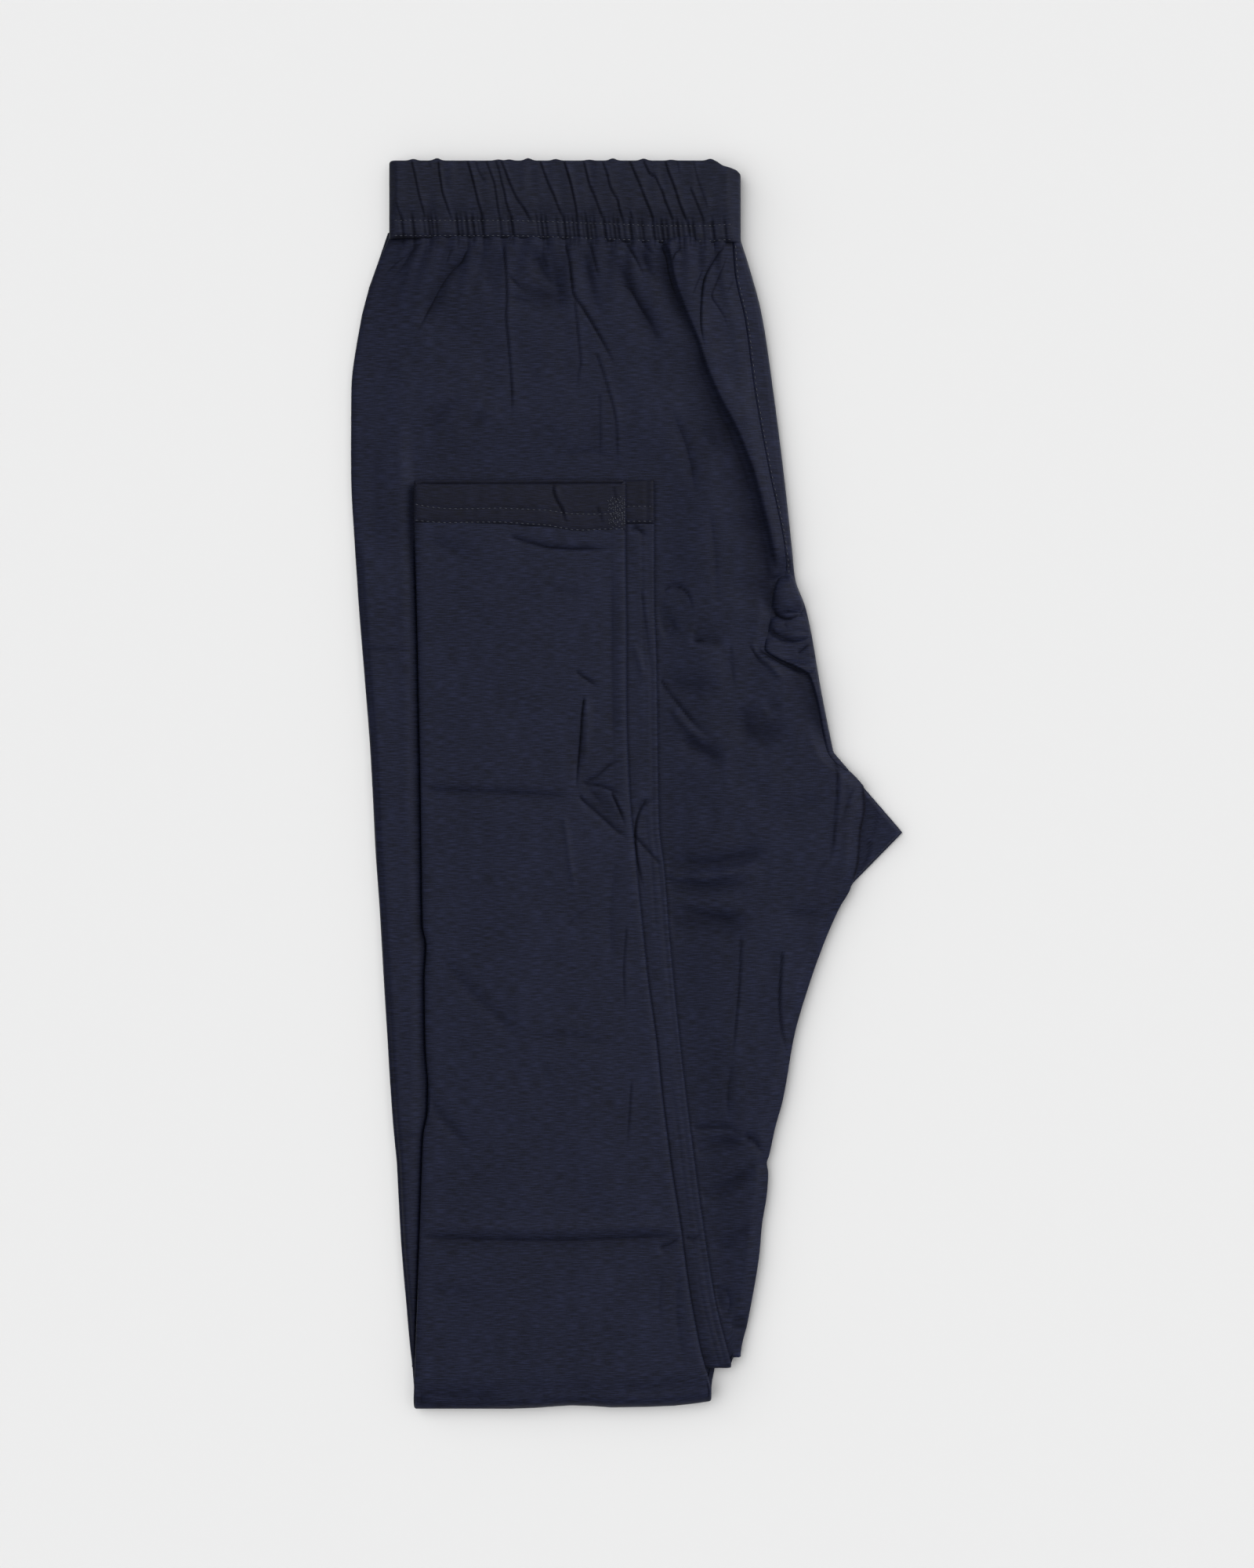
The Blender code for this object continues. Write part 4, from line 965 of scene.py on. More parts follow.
def strip_relief(x, y):
    """The seam allowance inside the inseam, as two shallow lines, the strip's few creases and its painted shade.
    """
    right = read(LEFT_SHIN, "right", y)
    height = 0.25 * smooth((right - x) / 6.0)
    for count, inward in enumerate(ALLOWANCE_LINES):
        wander = 0.5 * soft_noise(y, x * 0.0, 30.0, 1.0, 20 + count)
        depth = 0.12 + 0.12 * soft_noise(y, x * 0.0, 40.0, 1.0, 30 + count)
        height -= depth * bell(x - right + inward + wander, ALLOWANCE_WIDTH)
    height += 0.12 * soft_noise(x, y, 5.0, 14.0, 6)
    creased, hollow = crease_relief(STRIP_CREASES, x, y, 0.65)
    edge = smooth((right - x) / 1.6)
    # A painted shadow line where the right shin's edge lies on the strip, and towards the knee fold a wider band
    # of painted shade
    from_shin = x - read(RIGHT_SHIN, "right", y)
    dark = (0.45 + 0.4 * smooth((-60.0 - y) / 60.0)) * edge_line(from_shin)
    dark = np.maximum(dark, 0.4 * smooth((-190.0 - y) / 30.0) * bell(from_shin, 4.5))
    return (height + creased) * edge, np.maximum(hollow * edge, dark)


def make_left_lower():
    """The left leg from its knee fold up to its cuff."""
    turns = np.linspace(0.5 * math.pi, math.pi, KNEE_STEPS)
    ys = LEFT_FOLD_Y - LEFT_FOLD_RADIUS * np.sin(turns)
    zs = FRONT_Z + LEFT_FOLD_RADIUS * (1 - np.cos(turns))
    up = np.arange(LEFT_FOLD_Y + 1.5, CUFF_LOW + 3.0, 0.9)
    ys = np.concatenate([ys, up])
    zs = np.concatenate([zs, np.full(len(up), LEFT_SHIN_Z)])
    left = read(LEFT_SHIN, "left", ys) + CLOTH / 2
    right = read(LEFT_SHIN, "right", ys) - CLOTH / 2
    seen = read(RIGHT_SHIN, "right", ys) - 5.0
    shares = share_columns([left, seen, right], [18, 26])
    x, drop = rolled_rows(left, right, LEFT_SHIN_ROLL, LEFT_SHIN_ROLL, shares)
    y = spread(ys, x)
    lift, hollow = strip_relief(x, y)
    lift = lift * (drop == 0.0) - FOLD_DROOP * smooth((LEFT_FOLD_Y + 9.0 - y) / 9.0) ** 2
    points = np.stack([x, y, zs[:, None] - drop + lift], axis=-1)
    cloth = np.stack([x, spread(distance_along(ys, zs), x)], axis=-1)
    return with_wall(grid_object("left_leg_lower", points, cloth, hollow))


left_lower = dress(make_left_lower(), leg_cloth, "leg_cloth", "leg_left")

# %% [markdown]
# ## The right leg
#
# The right leg wraps the whole bundle: its front lies on the table, turns up round the bottom fold, and comes
# back as the topmost lower leg. One grid follows that path, coarse where it lies on the table and fine where
# it shows. Its creases were pressed in a pile, so they are short and nearly straight.

# %% Creases of the right lower leg
SHIN_CREASES = [Crease(*row) for row in [
    ([(-20.4, 5.3), (-12.8, -7.4), (-2.4, -20.5)], 6, 6, -0.9),
    ([(-19.7, 26.0), (-20.7, 12.2), (-21.0, -1.6)], 3.4, 2.8, -0.8),
    ([(-5.9, 103.7), (-6.6, 69.2), (-5.5, 14.0)], 2.8, 2.8, -0.5),
    ([(-51.4, 109.2), (-46.2, 107.1), (-40.4, 105.4), (-34.2, 104.0), (-25.5, 103.3), (-16.9, 103.3),
      (-10.0, 103.3), (-4.1, 104.4)], 0.8, 1.6, -1.2),
    ([(-90.0, 107.8), (-79.0, 103.7), (-67.3, 99.5)], 4, 4, -0.5),
    ([(-37.6, 87.1), (-25.5, 84.0), (-11.7, 81.2)], 2, 2, -0.3),
    ([(-92.8, -2.6), (-61.8, -3.6), (-21.0, -5.7)], 3.4, 2.0, -1.1),
    ([(-22.8, 50.2), (-17.6, 46.4), (-11.0, 41.9)], 1, 1, -1.1),
    ([(-18.3, 38.8), (-19.3, 29.5), (-20.0, 19.1), (-21.0, 8.8), (-21.7, 0.2), (-21.4, -5.0)],
      1, 1.4, -1.5),
    ([(-16.9, 34.7), (-17.6, 17.4), (-18.6, 5.3)], 1, 1.2, 0.5),
    ([(-21.0, -4.0), (-18.6, -7.4), (-14.1, -11.2), (-9.3, -15.7), (-3.8, -20.5), (2.4, -24.7)],
      1.3, 1.4, -1.9),
    ([(-19.7, 0.2), (-15.2, -0.2), (-10.0, -1.2), (-4.8, -3.3), (-0.7, -6.4)], 0.9, 0.9, -1),
    ([(-18.3, 0.9), (-12.8, 3.6), (-7.2, 8.5), (-0.7, 11.6)], 0.9, 0.9, -1),
    ([(-16.9, -1.6), (-12.8, -6.0), (-10.0, -10.2)], 0.9, 0.9, -0.4),
    ([(-6.9, -2.6), (-4.5, -7.4), (-2.1, -12.9), (0.0, -19.1)], 0.9, 0.9, -1.4),
    ([(-27.3, -13.6), (-24.8, -32.6), (-21.4, -52.3)], 1.2, 1.2, 0.45),
    ([(-26.6, -62.3), (-21.0, -57.4), (-14.5, -53.0)], 1.2, 1.2, -0.4),
    ([(-83.1, -73.0), (-68.7, -90.9), (-44.5, -113.7)], 2.4, 2.4, -0.55),
    ([(-44.5, -113.7), (-28.6, -110.6), (-4.1, -115.7)], 2.3, 2.3, -0.5),
    ([(-37.6, -120.6), (-34.2, -130.9), (-33.5, -137.8)], 2.2, 2.2, -0.3),
    ([(-90.6, -133.0), (-80.4, -147.1), (-66.2, -162.7)], 2.2, 2.2, -0.9),
    ([(-91.1, -193.7), (-34.2, -195.1), (23.1, -193.7)], 3, 3, 0.5),
    ([(-92.8, -198.9), (-34.2, -200.3), (25.5, -198.2)], 4.4, 1.8, -1.4),
    ([(13.5, -203.4), (19.3, -201.7), (25.2, -197.2)], 2.6, 1.2, -0.9),
    ([(-91.1, -220.6), (-79.0, -223.4), (-60.0, -224.1)], 3.5, 2.5, -0.4),
    ([(2.4, -130.2), (1.4, -146.5), (0.3, -161.3)], 1.1, 1.1, -0.6),
    ([(0.3, -61.9), (-1.0, -80.9), (-0.3, -100.6)], 1.1, 1.1, -0.5),
    ([(23.8, -206.8), (22.4, -231.0), (25.9, -259.3)], 2.2, 2.2, -0.6),
    ([(16.2, -213.7), (14.8, -227.5), (15.9, -241.3)], 2, 2, -0.35),
    ([(-3.8, -27.4), (-7.2, -55.0), (-6.2, -82.6)], 2.4, 2.4, -0.35),
    ([(-86.6, -70.6), (-89.0, -74.0), (-87.6, -82.6)], 2, 2, -0.5),
    ([(-108.0, -270.4), (-82.0, -270.6), (-52.0, -269.8)], 3, 3, -1.2),
    ([(-6.6, -263.8), (10.7, -266.2), (31.4, -260.3)], 3, 3, -0.3),
]]
print(len(SHIN_CREASES), "creases on the right lower leg")

# %% The right leg as a mesh
FLOOR_Z = CLOTH / 2
RIGHT_SHIN_Z = 10.6
RIGHT_FOLD = -274.8
RIGHT_ROLL = 0.95
RIGHT_SHIN_ROLL = 0.65
FRONT_WRAP = 2.4
FOLD_STEPS = 16
SHIN_SWELL = 1.1
SHIN_BUMPS = [Bumps(0.35, 24.0, 30.0, 11), Bumps(0.15, 9.0, 10.0, 12), Bumps(0.04, 2.8, 3.4, 13)]
SHIN_FLATTEST = -0.7
ALLOWANCE_WIDE = 6.0
SHIN_ROWS = [-203.0, -192.0, -60.0, 52.0, 100.0, 110.4, 115.3]
SHIN_STEPS = [0.6, 1.3, 0.9, 1.5, 0.42, 0.9]

# The bottom fold isn't straight: it rises by these amounts along its width
BOTTOM_X = [-93.0, -51.0, -40.0, -32.0, -24.0, -15.0, -6.5, 8.0, 21.0, 30.0, 37.6]
BOTTOM_RISE = [0.0, 0.0, 0.4, 1.0, 1.5, 1.2, 0.6, 0.8, 1.3, 2.3, 3.4]


def bottom_rise(x, y):
    """How far a place near the bottom fold moves up along the table."""
    return np.interp(x, BOTTOM_X, BOTTOM_RISE) * smooth((-246.0 - y) / 22.0)


def shin_relief(x, y):
    """How far the right lower leg stands above its flat height."""
    left, right = read(RIGHT_SHIN, "left", y), read(RIGHT_SHIN, "right", y)
    crease_mask = between_edges(x, left, right)
    swell = dome([x - left, right - x]) * (SHIN_SWELL + noise_layers(x, y, SHIN_BUMPS))
    allowance = smooth((x - right + ALLOWANCE_WIDE + 0.6) / 1.2) * smooth((right - x - 0.6) / 0.8)
    allowance *= 0.1 * smooth((y + 60.0) / 60.0)
    creased, hollow = crease_relief(SHIN_CREASES, x, y, 0.65)
    height = swell + crease_mask * (creased + allowance)
    return np.maximum(height, SHIN_FLATTEST), hollow * crease_mask


def right_leg_path():
    """Rows along the right leg: y and z of each, and which way is out of the bundle there."""
    radius = (RIGHT_SHIN_Z - FLOOR_Z) / 2.0
    centre_y = RIGHT_FOLD + radius + CLOTH / 2
    centre_z = (RIGHT_SHIN_Z + FLOOR_Z) / 2.0
    down = np.concatenate([np.arange(PANEL_TOP, 20.0, -12.0), np.arange(20.0, -50.0, -3.0), [FORK_Y]])
    down = np.concatenate([np.sort(down)[::-1], np.arange(-50.0, centre_y + 1.0, -9.0)])
    turns = math.pi * (np.linspace(0.0, 1.0, FOLD_STEPS + 1) - 0.5)
    up = [np.arange(start, end, step) for start, end, step in zip(SHIN_ROWS[:-1], SHIN_ROWS[1:], SHIN_STEPS)]
    up = np.concatenate([np.arange(centre_y + 1.5, SHIN_ROWS[0], 1.8)] + up)
    y = np.concatenate([down, centre_y - radius * np.cos(turns), up])
    z = np.concatenate([0.0 * down + FLOOR_Z, centre_z + radius * np.sin(turns), 0.0 * up + RIGHT_SHIN_Z])
    out_y = np.concatenate([0.0 * down, -np.cos(turns), 0.0 * up])
    out_z = np.concatenate([0.0 * down - 1.0, np.sin(turns), 0.0 * up + 1.0])
    return y, z, out_y, out_z


def make_right_leg():
    """The right leg: flat on the table, round the bottom fold and up again as the top layer."""
    ys, zs, out_y, out_z = right_leg_path()
    high = 0.5 + 0.5 * out_z
    wrapped = smooth((ys - 8.0) / 10.0) * (1.0 - high)
    floor_left, floor_right = floor_edges(ys)
    floor_right = floor_right - wrapped * (FRONT_WRAP - RIGHT_ROLL)
    shin_left, shin_right = read(RIGHT_SHIN, "left", ys), read(RIGHT_SHIN, "right", ys)
    left = floor_left + (shin_left - floor_left) * high + CLOTH / 2
    right = floor_right + (shin_right - floor_right) * high - CLOTH / 2
    shares = share_columns([left, left + 0.62 * (right - left), right], [38, 60])
    on_fork = (ys < 12.0) & (ys > -42.0) & (high < 0.5)
    radius_left = RIGHT_ROLL + (RIGHT_SHIN_ROLL - RIGHT_ROLL) * high
    radius_right = np.where(on_fork, 0.6, radius_left) * (1.0 - wrapped) + 0.1 * wrapped
    x, drop = rolled_rows(left, right, radius_left, radius_right, shares)
    base = spread(ys, x)
    droop = FOLD_DROOP * smooth((-257.0 - base) / 12.0) ** 2
    lift, hollow = shin_relief(x, base)
    lift = (lift - droop) * smooth(2.0 * high - 1.0)[:, None] * (drop == 0.0)
    hollow = hollow * (high[:, None] > 0.9)
    y = base - drop * out_y[:, None]
    y = y + bottom_rise(x, y)
    z = zs[:, None] - drop * out_z[:, None] + lift
    points = np.stack([x, y, z], axis=-1)
    cloth = np.stack([x, spread(distance_along(ys, zs), x)], axis=-1)
    return with_wall(grid_object("right_leg", points, cloth, hollow))


right_leg = dress(make_right_leg(), leg_cloth, "leg_cloth", "leg_right")

# %% [markdown]
# ## The right leg's front edge
#
# Beside the centre seam the right leg's front rolls up over the edge of the pile and ends at the seam. At the
# seam's lower end the cloth is bunched into a small bulb with a dimple and a second lobe below it, where the
# four seams of the crotch pull together. The strip is a grid between the seam and the outline, and three
# domes with a few creases make the bunch.

# %% The front edge as a mesh
Dome = namedtuple("Dome", "x y reach_x reach_y height")
EDGE_Z = 5.1
BUNCH = [Dome(71.4, 82.3, 7.4, 9.6, 4.2), Dome(72.8, 69.2, 9.8, 6.4, 3.3), Dome(74.0, 57.5, 15.0, 9.5, 1.8)]
SEAM_RIDGE = 2.2
EDGE_CREASES = [Crease(*row) for row in [
    ([(65.2, 77.5), (66.9, 74.0), (69.7, 73.0), (73.1, 73.7), (77.3, 75.0)], 1.3, 1.6, -1.1),
    ([(63.8, 69.5), (65.9, 66.4), (69.3, 64.7), (72.8, 63.3), (75.9, 62.6)], 1.3, 1, -1.1),
    ([(69.3, 70.9), (70.4, 69.5), (71.4, 68.1)], 0.8, 0.8, -0.5),
    ([(70.7, 77.5), (71.4, 76.1), (72.1, 75.0)], 0.8, 0.8, -0.5),
    ([(74.9, 57.1), (78.0, 59.5), (81.4, 62.6)], 1, 1, -1),
    ([(67.6, 91.6), (69.7, 90.9), (72.1, 90.6)], 0.9, 0.9, -0.9),
    ([(70.4, 103.0), (71.4, 98.2), (72.1, 92.6)], 0.8, 0.8, -0.6),
]]


def edge_relief(x, y):
    """The bunched end of the centre seam, and a slight waviness along the strip."""
    height = 0.1 + seam_share(y) * front_swell(y) + 0.25 * soft_noise(x, y, 12.0, 16.0, 15)
    height -= 0.8 * smooth((x - read(CENTRE_SEAM, "right", y)) / 9.0)
    height -= 1.4 * smooth((y - BAND_LOW + 0.2) / 1.6)
    height += SEAM_RIDGE * smooth((56.0 - y) / 5.0) * smooth((y - 10.0) / 32.0)
    for lobe in BUNCH:
        distance = ((x - lobe.x) / lobe.reach_x) ** 2 + ((y - lobe.y) / lobe.reach_y) ** 2
        height += lobe.height * np.sqrt(np.clip(1.0 - distance, 0.0, 1.0))
    creased, hollow = crease_relief(EDGE_CREASES, x, y)
    return height + creased, hollow


def make_front_edge():
    """From under the casing to the fork: level from the seam outwards, then round to the table."""
    ys = np.concatenate([np.arange(PANEL_TOP, 96.0, -1.8), np.arange(96.0, 46.0, -0.6)])
    ys = np.concatenate([ys, np.arange(46.0, SEAM_END, -1.2), [SEAM_END]])
    left = read(CENTRE_SEAM, "right", ys)[:, None]
    right = (body_right(ys) - CLOTH / 2)[:, None]
    radius_out = np.minimum(FRONT_WRAP, 0.7 * (right - left))
    radius_up = (EDGE_Z - FLOOR_Z) / 2.0
    flat = left + (right - radius_out - left) * np.linspace(0.0, 1.0, 26)[None, :]
    turns = np.linspace(0.0, math.pi, 13)[None, 1:]
    x_round = right - radius_out + radius_out * np.sin(turns)
    z_round = EDGE_Z - radius_up * (1.0 - np.cos(turns))
    x = np.hstack([left, flat, x_round + 0.0 * left])
    z = np.hstack([0.0 * left + EDGE_Z - 0.9, 0.0 * flat + EDGE_Z, z_round + 0.0 * left])
    y = spread(ys, x)
    level = smooth((z - 3.4) / 1.7)
    lift, hollow = edge_relief(x, y)
    lift = lift * level * smooth((x - left) / 0.8)
    lift[:, 0] = 0.0
    points = np.stack([x, y, z + lift], axis=-1)
    cloth = np.stack([x, y], axis=-1)
    return with_wall(grid_object("front_edge_roll", points, cloth, hollow, flip=True))


front_edge = dress(make_front_edge(), leg_cloth, "leg_cloth", "front_edge")

# %% [markdown]
# ## The layers inside
#
# The backs of both legs lie inside the folds. Only their edges show, at the fork, at the bottom corner and
# in the side views. One closed loft stands for them, with a groove along its edge so that the pile reads as
# separate layers, and with the flat triangle of the fork on top.

# %% The inner layers as one loft
HIDDEN_LOW = (1.1, 3.9)
HIDDEN_HIGH = (8.5, 9.8)
INSET = 2.5
FORK_INSET = 0.9
FOLD_GAP = 0.4
FOLD_TURNS = 12
LAYER_SHARES = np.concatenate([np.linspace(0.0, 0.88, 19), np.linspace(0.9, 1.0, 40)])

# From the outer face, at 0, to the inner one, at 1: how far the grooved edge is drawn in
EDGE_PROFILE = [(0.0, 0.9), (0.3, 0.25), (0.42, 0.0), (0.5, 0.55), (0.58, 0.0), (0.7, 0.25), (1.0, 0.9)]
FORK_CREASES = [Crease(*row) for row in [
    ([(106.2, -22.3), (107.2, -29.2), (103.1, -39.5)], 1.0, 1.0, -0.8),
    ([(112.0, -8.0), (110.0, -18.0), (108.5, -26.0)], 1.6, 1.6, -0.5),
]]


def layer_rings():
    """Sections along the inner layers: y and z of their outer and inner faces, and how far each is turned up."""
    radius = (HIDDEN_HIGH[1] - HIDDEN_LOW[0]) / 2.0
    centre_y = RIGHT_FOLD + CLOTH + FOLD_GAP + radius
    centre_z = (HIDDEN_HIGH[1] + HIDDEN_LOW[0]) / 2.0
    inner_y = LEFT_FOLD - FOLD_GAP
    fork_rows = np.sort(np.append(np.arange(16.0, -48.0, -1.6), FORK_Y))[::-1]
    flat_rows = np.concatenate([np.arange(242.0, 16.5, -6.0), fork_rows, np.arange(-50.0, inner_y, -6.0)])
    rings = [(y, HIDDEN_LOW[0], y, HIDDEN_LOW[1], 0.0) for y in flat_rows]
    for step in range(FOLD_TURNS + 1):
        turn = math.pi * (step / FOLD_TURNS - 0.5)
        outer_y = centre_y - radius * math.cos(turn)
        outer_z = centre_z + radius * math.sin(turn)
        inner_z = HIDDEN_LOW[1] + (HIDDEN_HIGH[0] - HIDDEN_LOW[1]) * step / FOLD_TURNS
        rings.append((outer_y, outer_z, inner_y, inner_z, step / FOLD_TURNS))
    for y in np.arange(inner_y + 4.0, 131.0, 5.0):
        rings.append((y, HIDDEN_HIGH[1], y, HIDDEN_HIGH[0], 1.0))
    return np.array(rings)


def layer_edges(y, high):
    """Left and right edge of the inner layers, inside the cloth that wraps them."""
    fork = smooth((12.0 - y) / 4.0) * smooth((y + 44.0) / 4.0) * (1.0 - high)
    floor_left, floor_right = floor_edges(y)
    left = floor_left + (read(RIGHT_SHIN, "left", y) - floor_left) * high + INSET
    right = floor_right + (read(RIGHT_SHIN, "right", y) - floor_right) * high
    return left, right - INSET - (FORK_INSET - INSET) * fork


def fork_cloth(x, y, high):
    """The cloth that shows on the fork: how far it stands above the inner layers, and its painted shade, with a
    shadow line along the front's edge.
    """
    beyond = x - front_right(y)
    on_fork = smooth((beyond - 0.5) / 2.0) * (high[:, None] == 0.0) * (y < 12.0)
    creased, hollow = crease_relief(FORK_CREASES, x, y)
    return on_fork * (0.25 + creased), on_fork * np.maximum(hollow, bell(beyond - 0.7, 0.7))


def make_inner_layers():
    """Each section goes along the outer face, round a grooved edge and back along the inner face."""
    rings = layer_rings()
    outer, inner, high = rings[:, 0:2], rings[:, 2:4], rings[:, 4]
    sides = []
    for depth, inward in EDGE_PROFILE:
        place = outer + (inner - outer) * depth
        left, right = layer_edges(place[:, 0], high)
        sides.append((place, left + inward, right - inward))
    columns = []
    for place, left, right in sides[::-1]:
        columns.append(np.stack([left, place[:, 0], place[:, 1]], axis=-1)[:, None, :])
    place, left, right = sides[0]
    x = left[:, None] + (right - left)[:, None] * LAYER_SHARES[None, 1:-1]
    columns.append(np.stack([x, place[:, :1] + 0 * x, place[:, 1:] + 0 * x], axis=-1))
    for place, left, right in sides:
        columns.append(np.stack([right, place[:, 0], place[:, 1]], axis=-1)[:, None, :])
    place, left, right = sides[-1]
    x = (left[:, None] + (right - left)[:, None] * LAYER_SHARES[None, 1:-1])[:, ::-1]
    y, z = place[:, :1] + 0 * x, place[:, 1:] + 0 * x
    lift, hollow = fork_cloth(x, y, high)
    columns.append(np.stack([x, y, z + lift], axis=-1))
    points = np.concatenate(columns, axis=1)
    points[..., 1] += bottom_rise(points[..., 0], points[..., 1])
    plain = np.zeros((len(points), points.shape[1] - x.shape[1]))
    closed = np.concatenate([points, points[:, :1]], axis=1)
    cloth = np.stack([closed[..., 0], path_length(closed)], axis=-1)
    hollow = np.hstack([plain, hollow])
    return closed_up(grid_object("inner_layers", points, cloth, hollow, wrap_columns=True))


inner_layers = dress(make_inner_layers(), inner_cloth, "inner_cloth", "hidden_layers")

# %% [markdown]
# ## Rings of turned cloth
#
# The waist casing and the two cuffs are closed rings, pressed flat. A ring's wall is lofted in two ways at
# once: round the flattened loop, and over a closed profile that goes up the outer side, over a rounded top
# edge and down the inner side. That makes a watertight piece whose top edge is a true fold of cloth.

# %% A ring from its loop and its profile
TOP_STEPS = 5
TURN_STEPS = 8

# Inside a ring's open end shade is painted on the cloth: from this far below the end, and within this length
LIP = 0.9
LIP_FADE = 0.7


def loop_normals(x, z):
    """The outward direction at each point of a closed loop that runs clockwise."""
    along_x = np.roll(x, -1) - np.roll(x, 1)
    along_z = np.roll(z, -1) - np.roll(z, 1)
    length = np.hypot(along_x, along_z)
    return -along_z / length, along_x / length


def half_turn(centre_x, centre_z, radius, start, end, steps):
    """Points on an arc between two angles in degrees, without its last one."""
    angles = np.radians(start + (end - start) * np.arange(steps) / steps)
    return centre_x + radius * np.cos(angles), centre_z + radius * np.sin(angles)


def level_run(start, end, z, steps):
    """Points on a level line, without its last one."""
    x = start + (end - start) * np.arange(steps) / steps
    return x, np.full(steps, float(z))


def joined(runs):
    """One loop through all the runs of points. Each run comes with a value, which is left out here."""
    return tuple(np.concatenate([points[axis] for _, points in runs]) for axis in (0, 1))


def make_ring(name, loop, low, top, wall, rows, lift):
    """low and top give the ring's ends at each point of the loop. lift(x, y) raises its outer side."""
    x, z = loop
    normal_x, normal_z = loop_normals(x, z)
    half = wall / 2.0
    side = np.linspace(0.0, 1.0, rows)[:, None]
    turns = np.linspace(0.0, math.pi, TOP_STEPS + 2)[1:-1, None]
    y = np.vstack([low + (top - half - low) * side, top - half + half * np.sin(turns)])
    y = np.vstack([y, low + (top - half - low) * side[::-1]])
    ones = np.ones((rows, len(x)))
    away = np.vstack([half * ones, half * np.cos(turns) * np.ones((1, len(x))), -half * ones])
    raised = np.vstack([ones, (0.5 + 0.5 * np.cos(turns)) * np.ones((1, len(x))), 0.0 * ones])
    px = x[None, :] + normal_x[None, :] * away
    pz = z[None, :] + normal_z[None, :] * away
    outer = (normal_z[None, :] > 0.9) * (z > z.max() - 0.4)[None, :]
    height, hollow = lift(px, y)
    pz = pz + height * raised * outer
    points = np.stack([px, y, pz], axis=-1)
    round_loop = distance_along(x, z)
    round_loop = np.append(round_loop, round_loop[-1] + 1.0)
    rise = path_length(points)
    rise = np.vstack([rise, rise[-1:] + wall])
    rise = np.hstack([rise, rise[:, :1]])
    cloth = np.stack([np.repeat(round_loop[None, :], rise.shape[0], axis=0), rise], axis=-1)
    # Painted shade inside the open end, and the lift's own painted shade on the outer side
    inside = (1.0 - raised) * smooth((top[None, :] - LIP - y) / LIP_FADE)
    hollow = np.maximum(hollow * raised * outer, inside)
    obj = closed_up(grid_object(name, points, cloth, hollow, wrap_rows=True, wrap_columns=True))
    print(name, "has", 2 * len(obj.data.polygons), "triangles")
    return obj


# %% [markdown]
# ## The waist casing
#
# The waist is a tube of cloth drawn together over elastic. The elastic pulls slanting pleats into it, and two
# rows of stitches below them catch dozens of tiny gathers. Pressed flat and folded in half, the ring has four
# layers; only the top one shows, and there the pleats and gathers are formed.

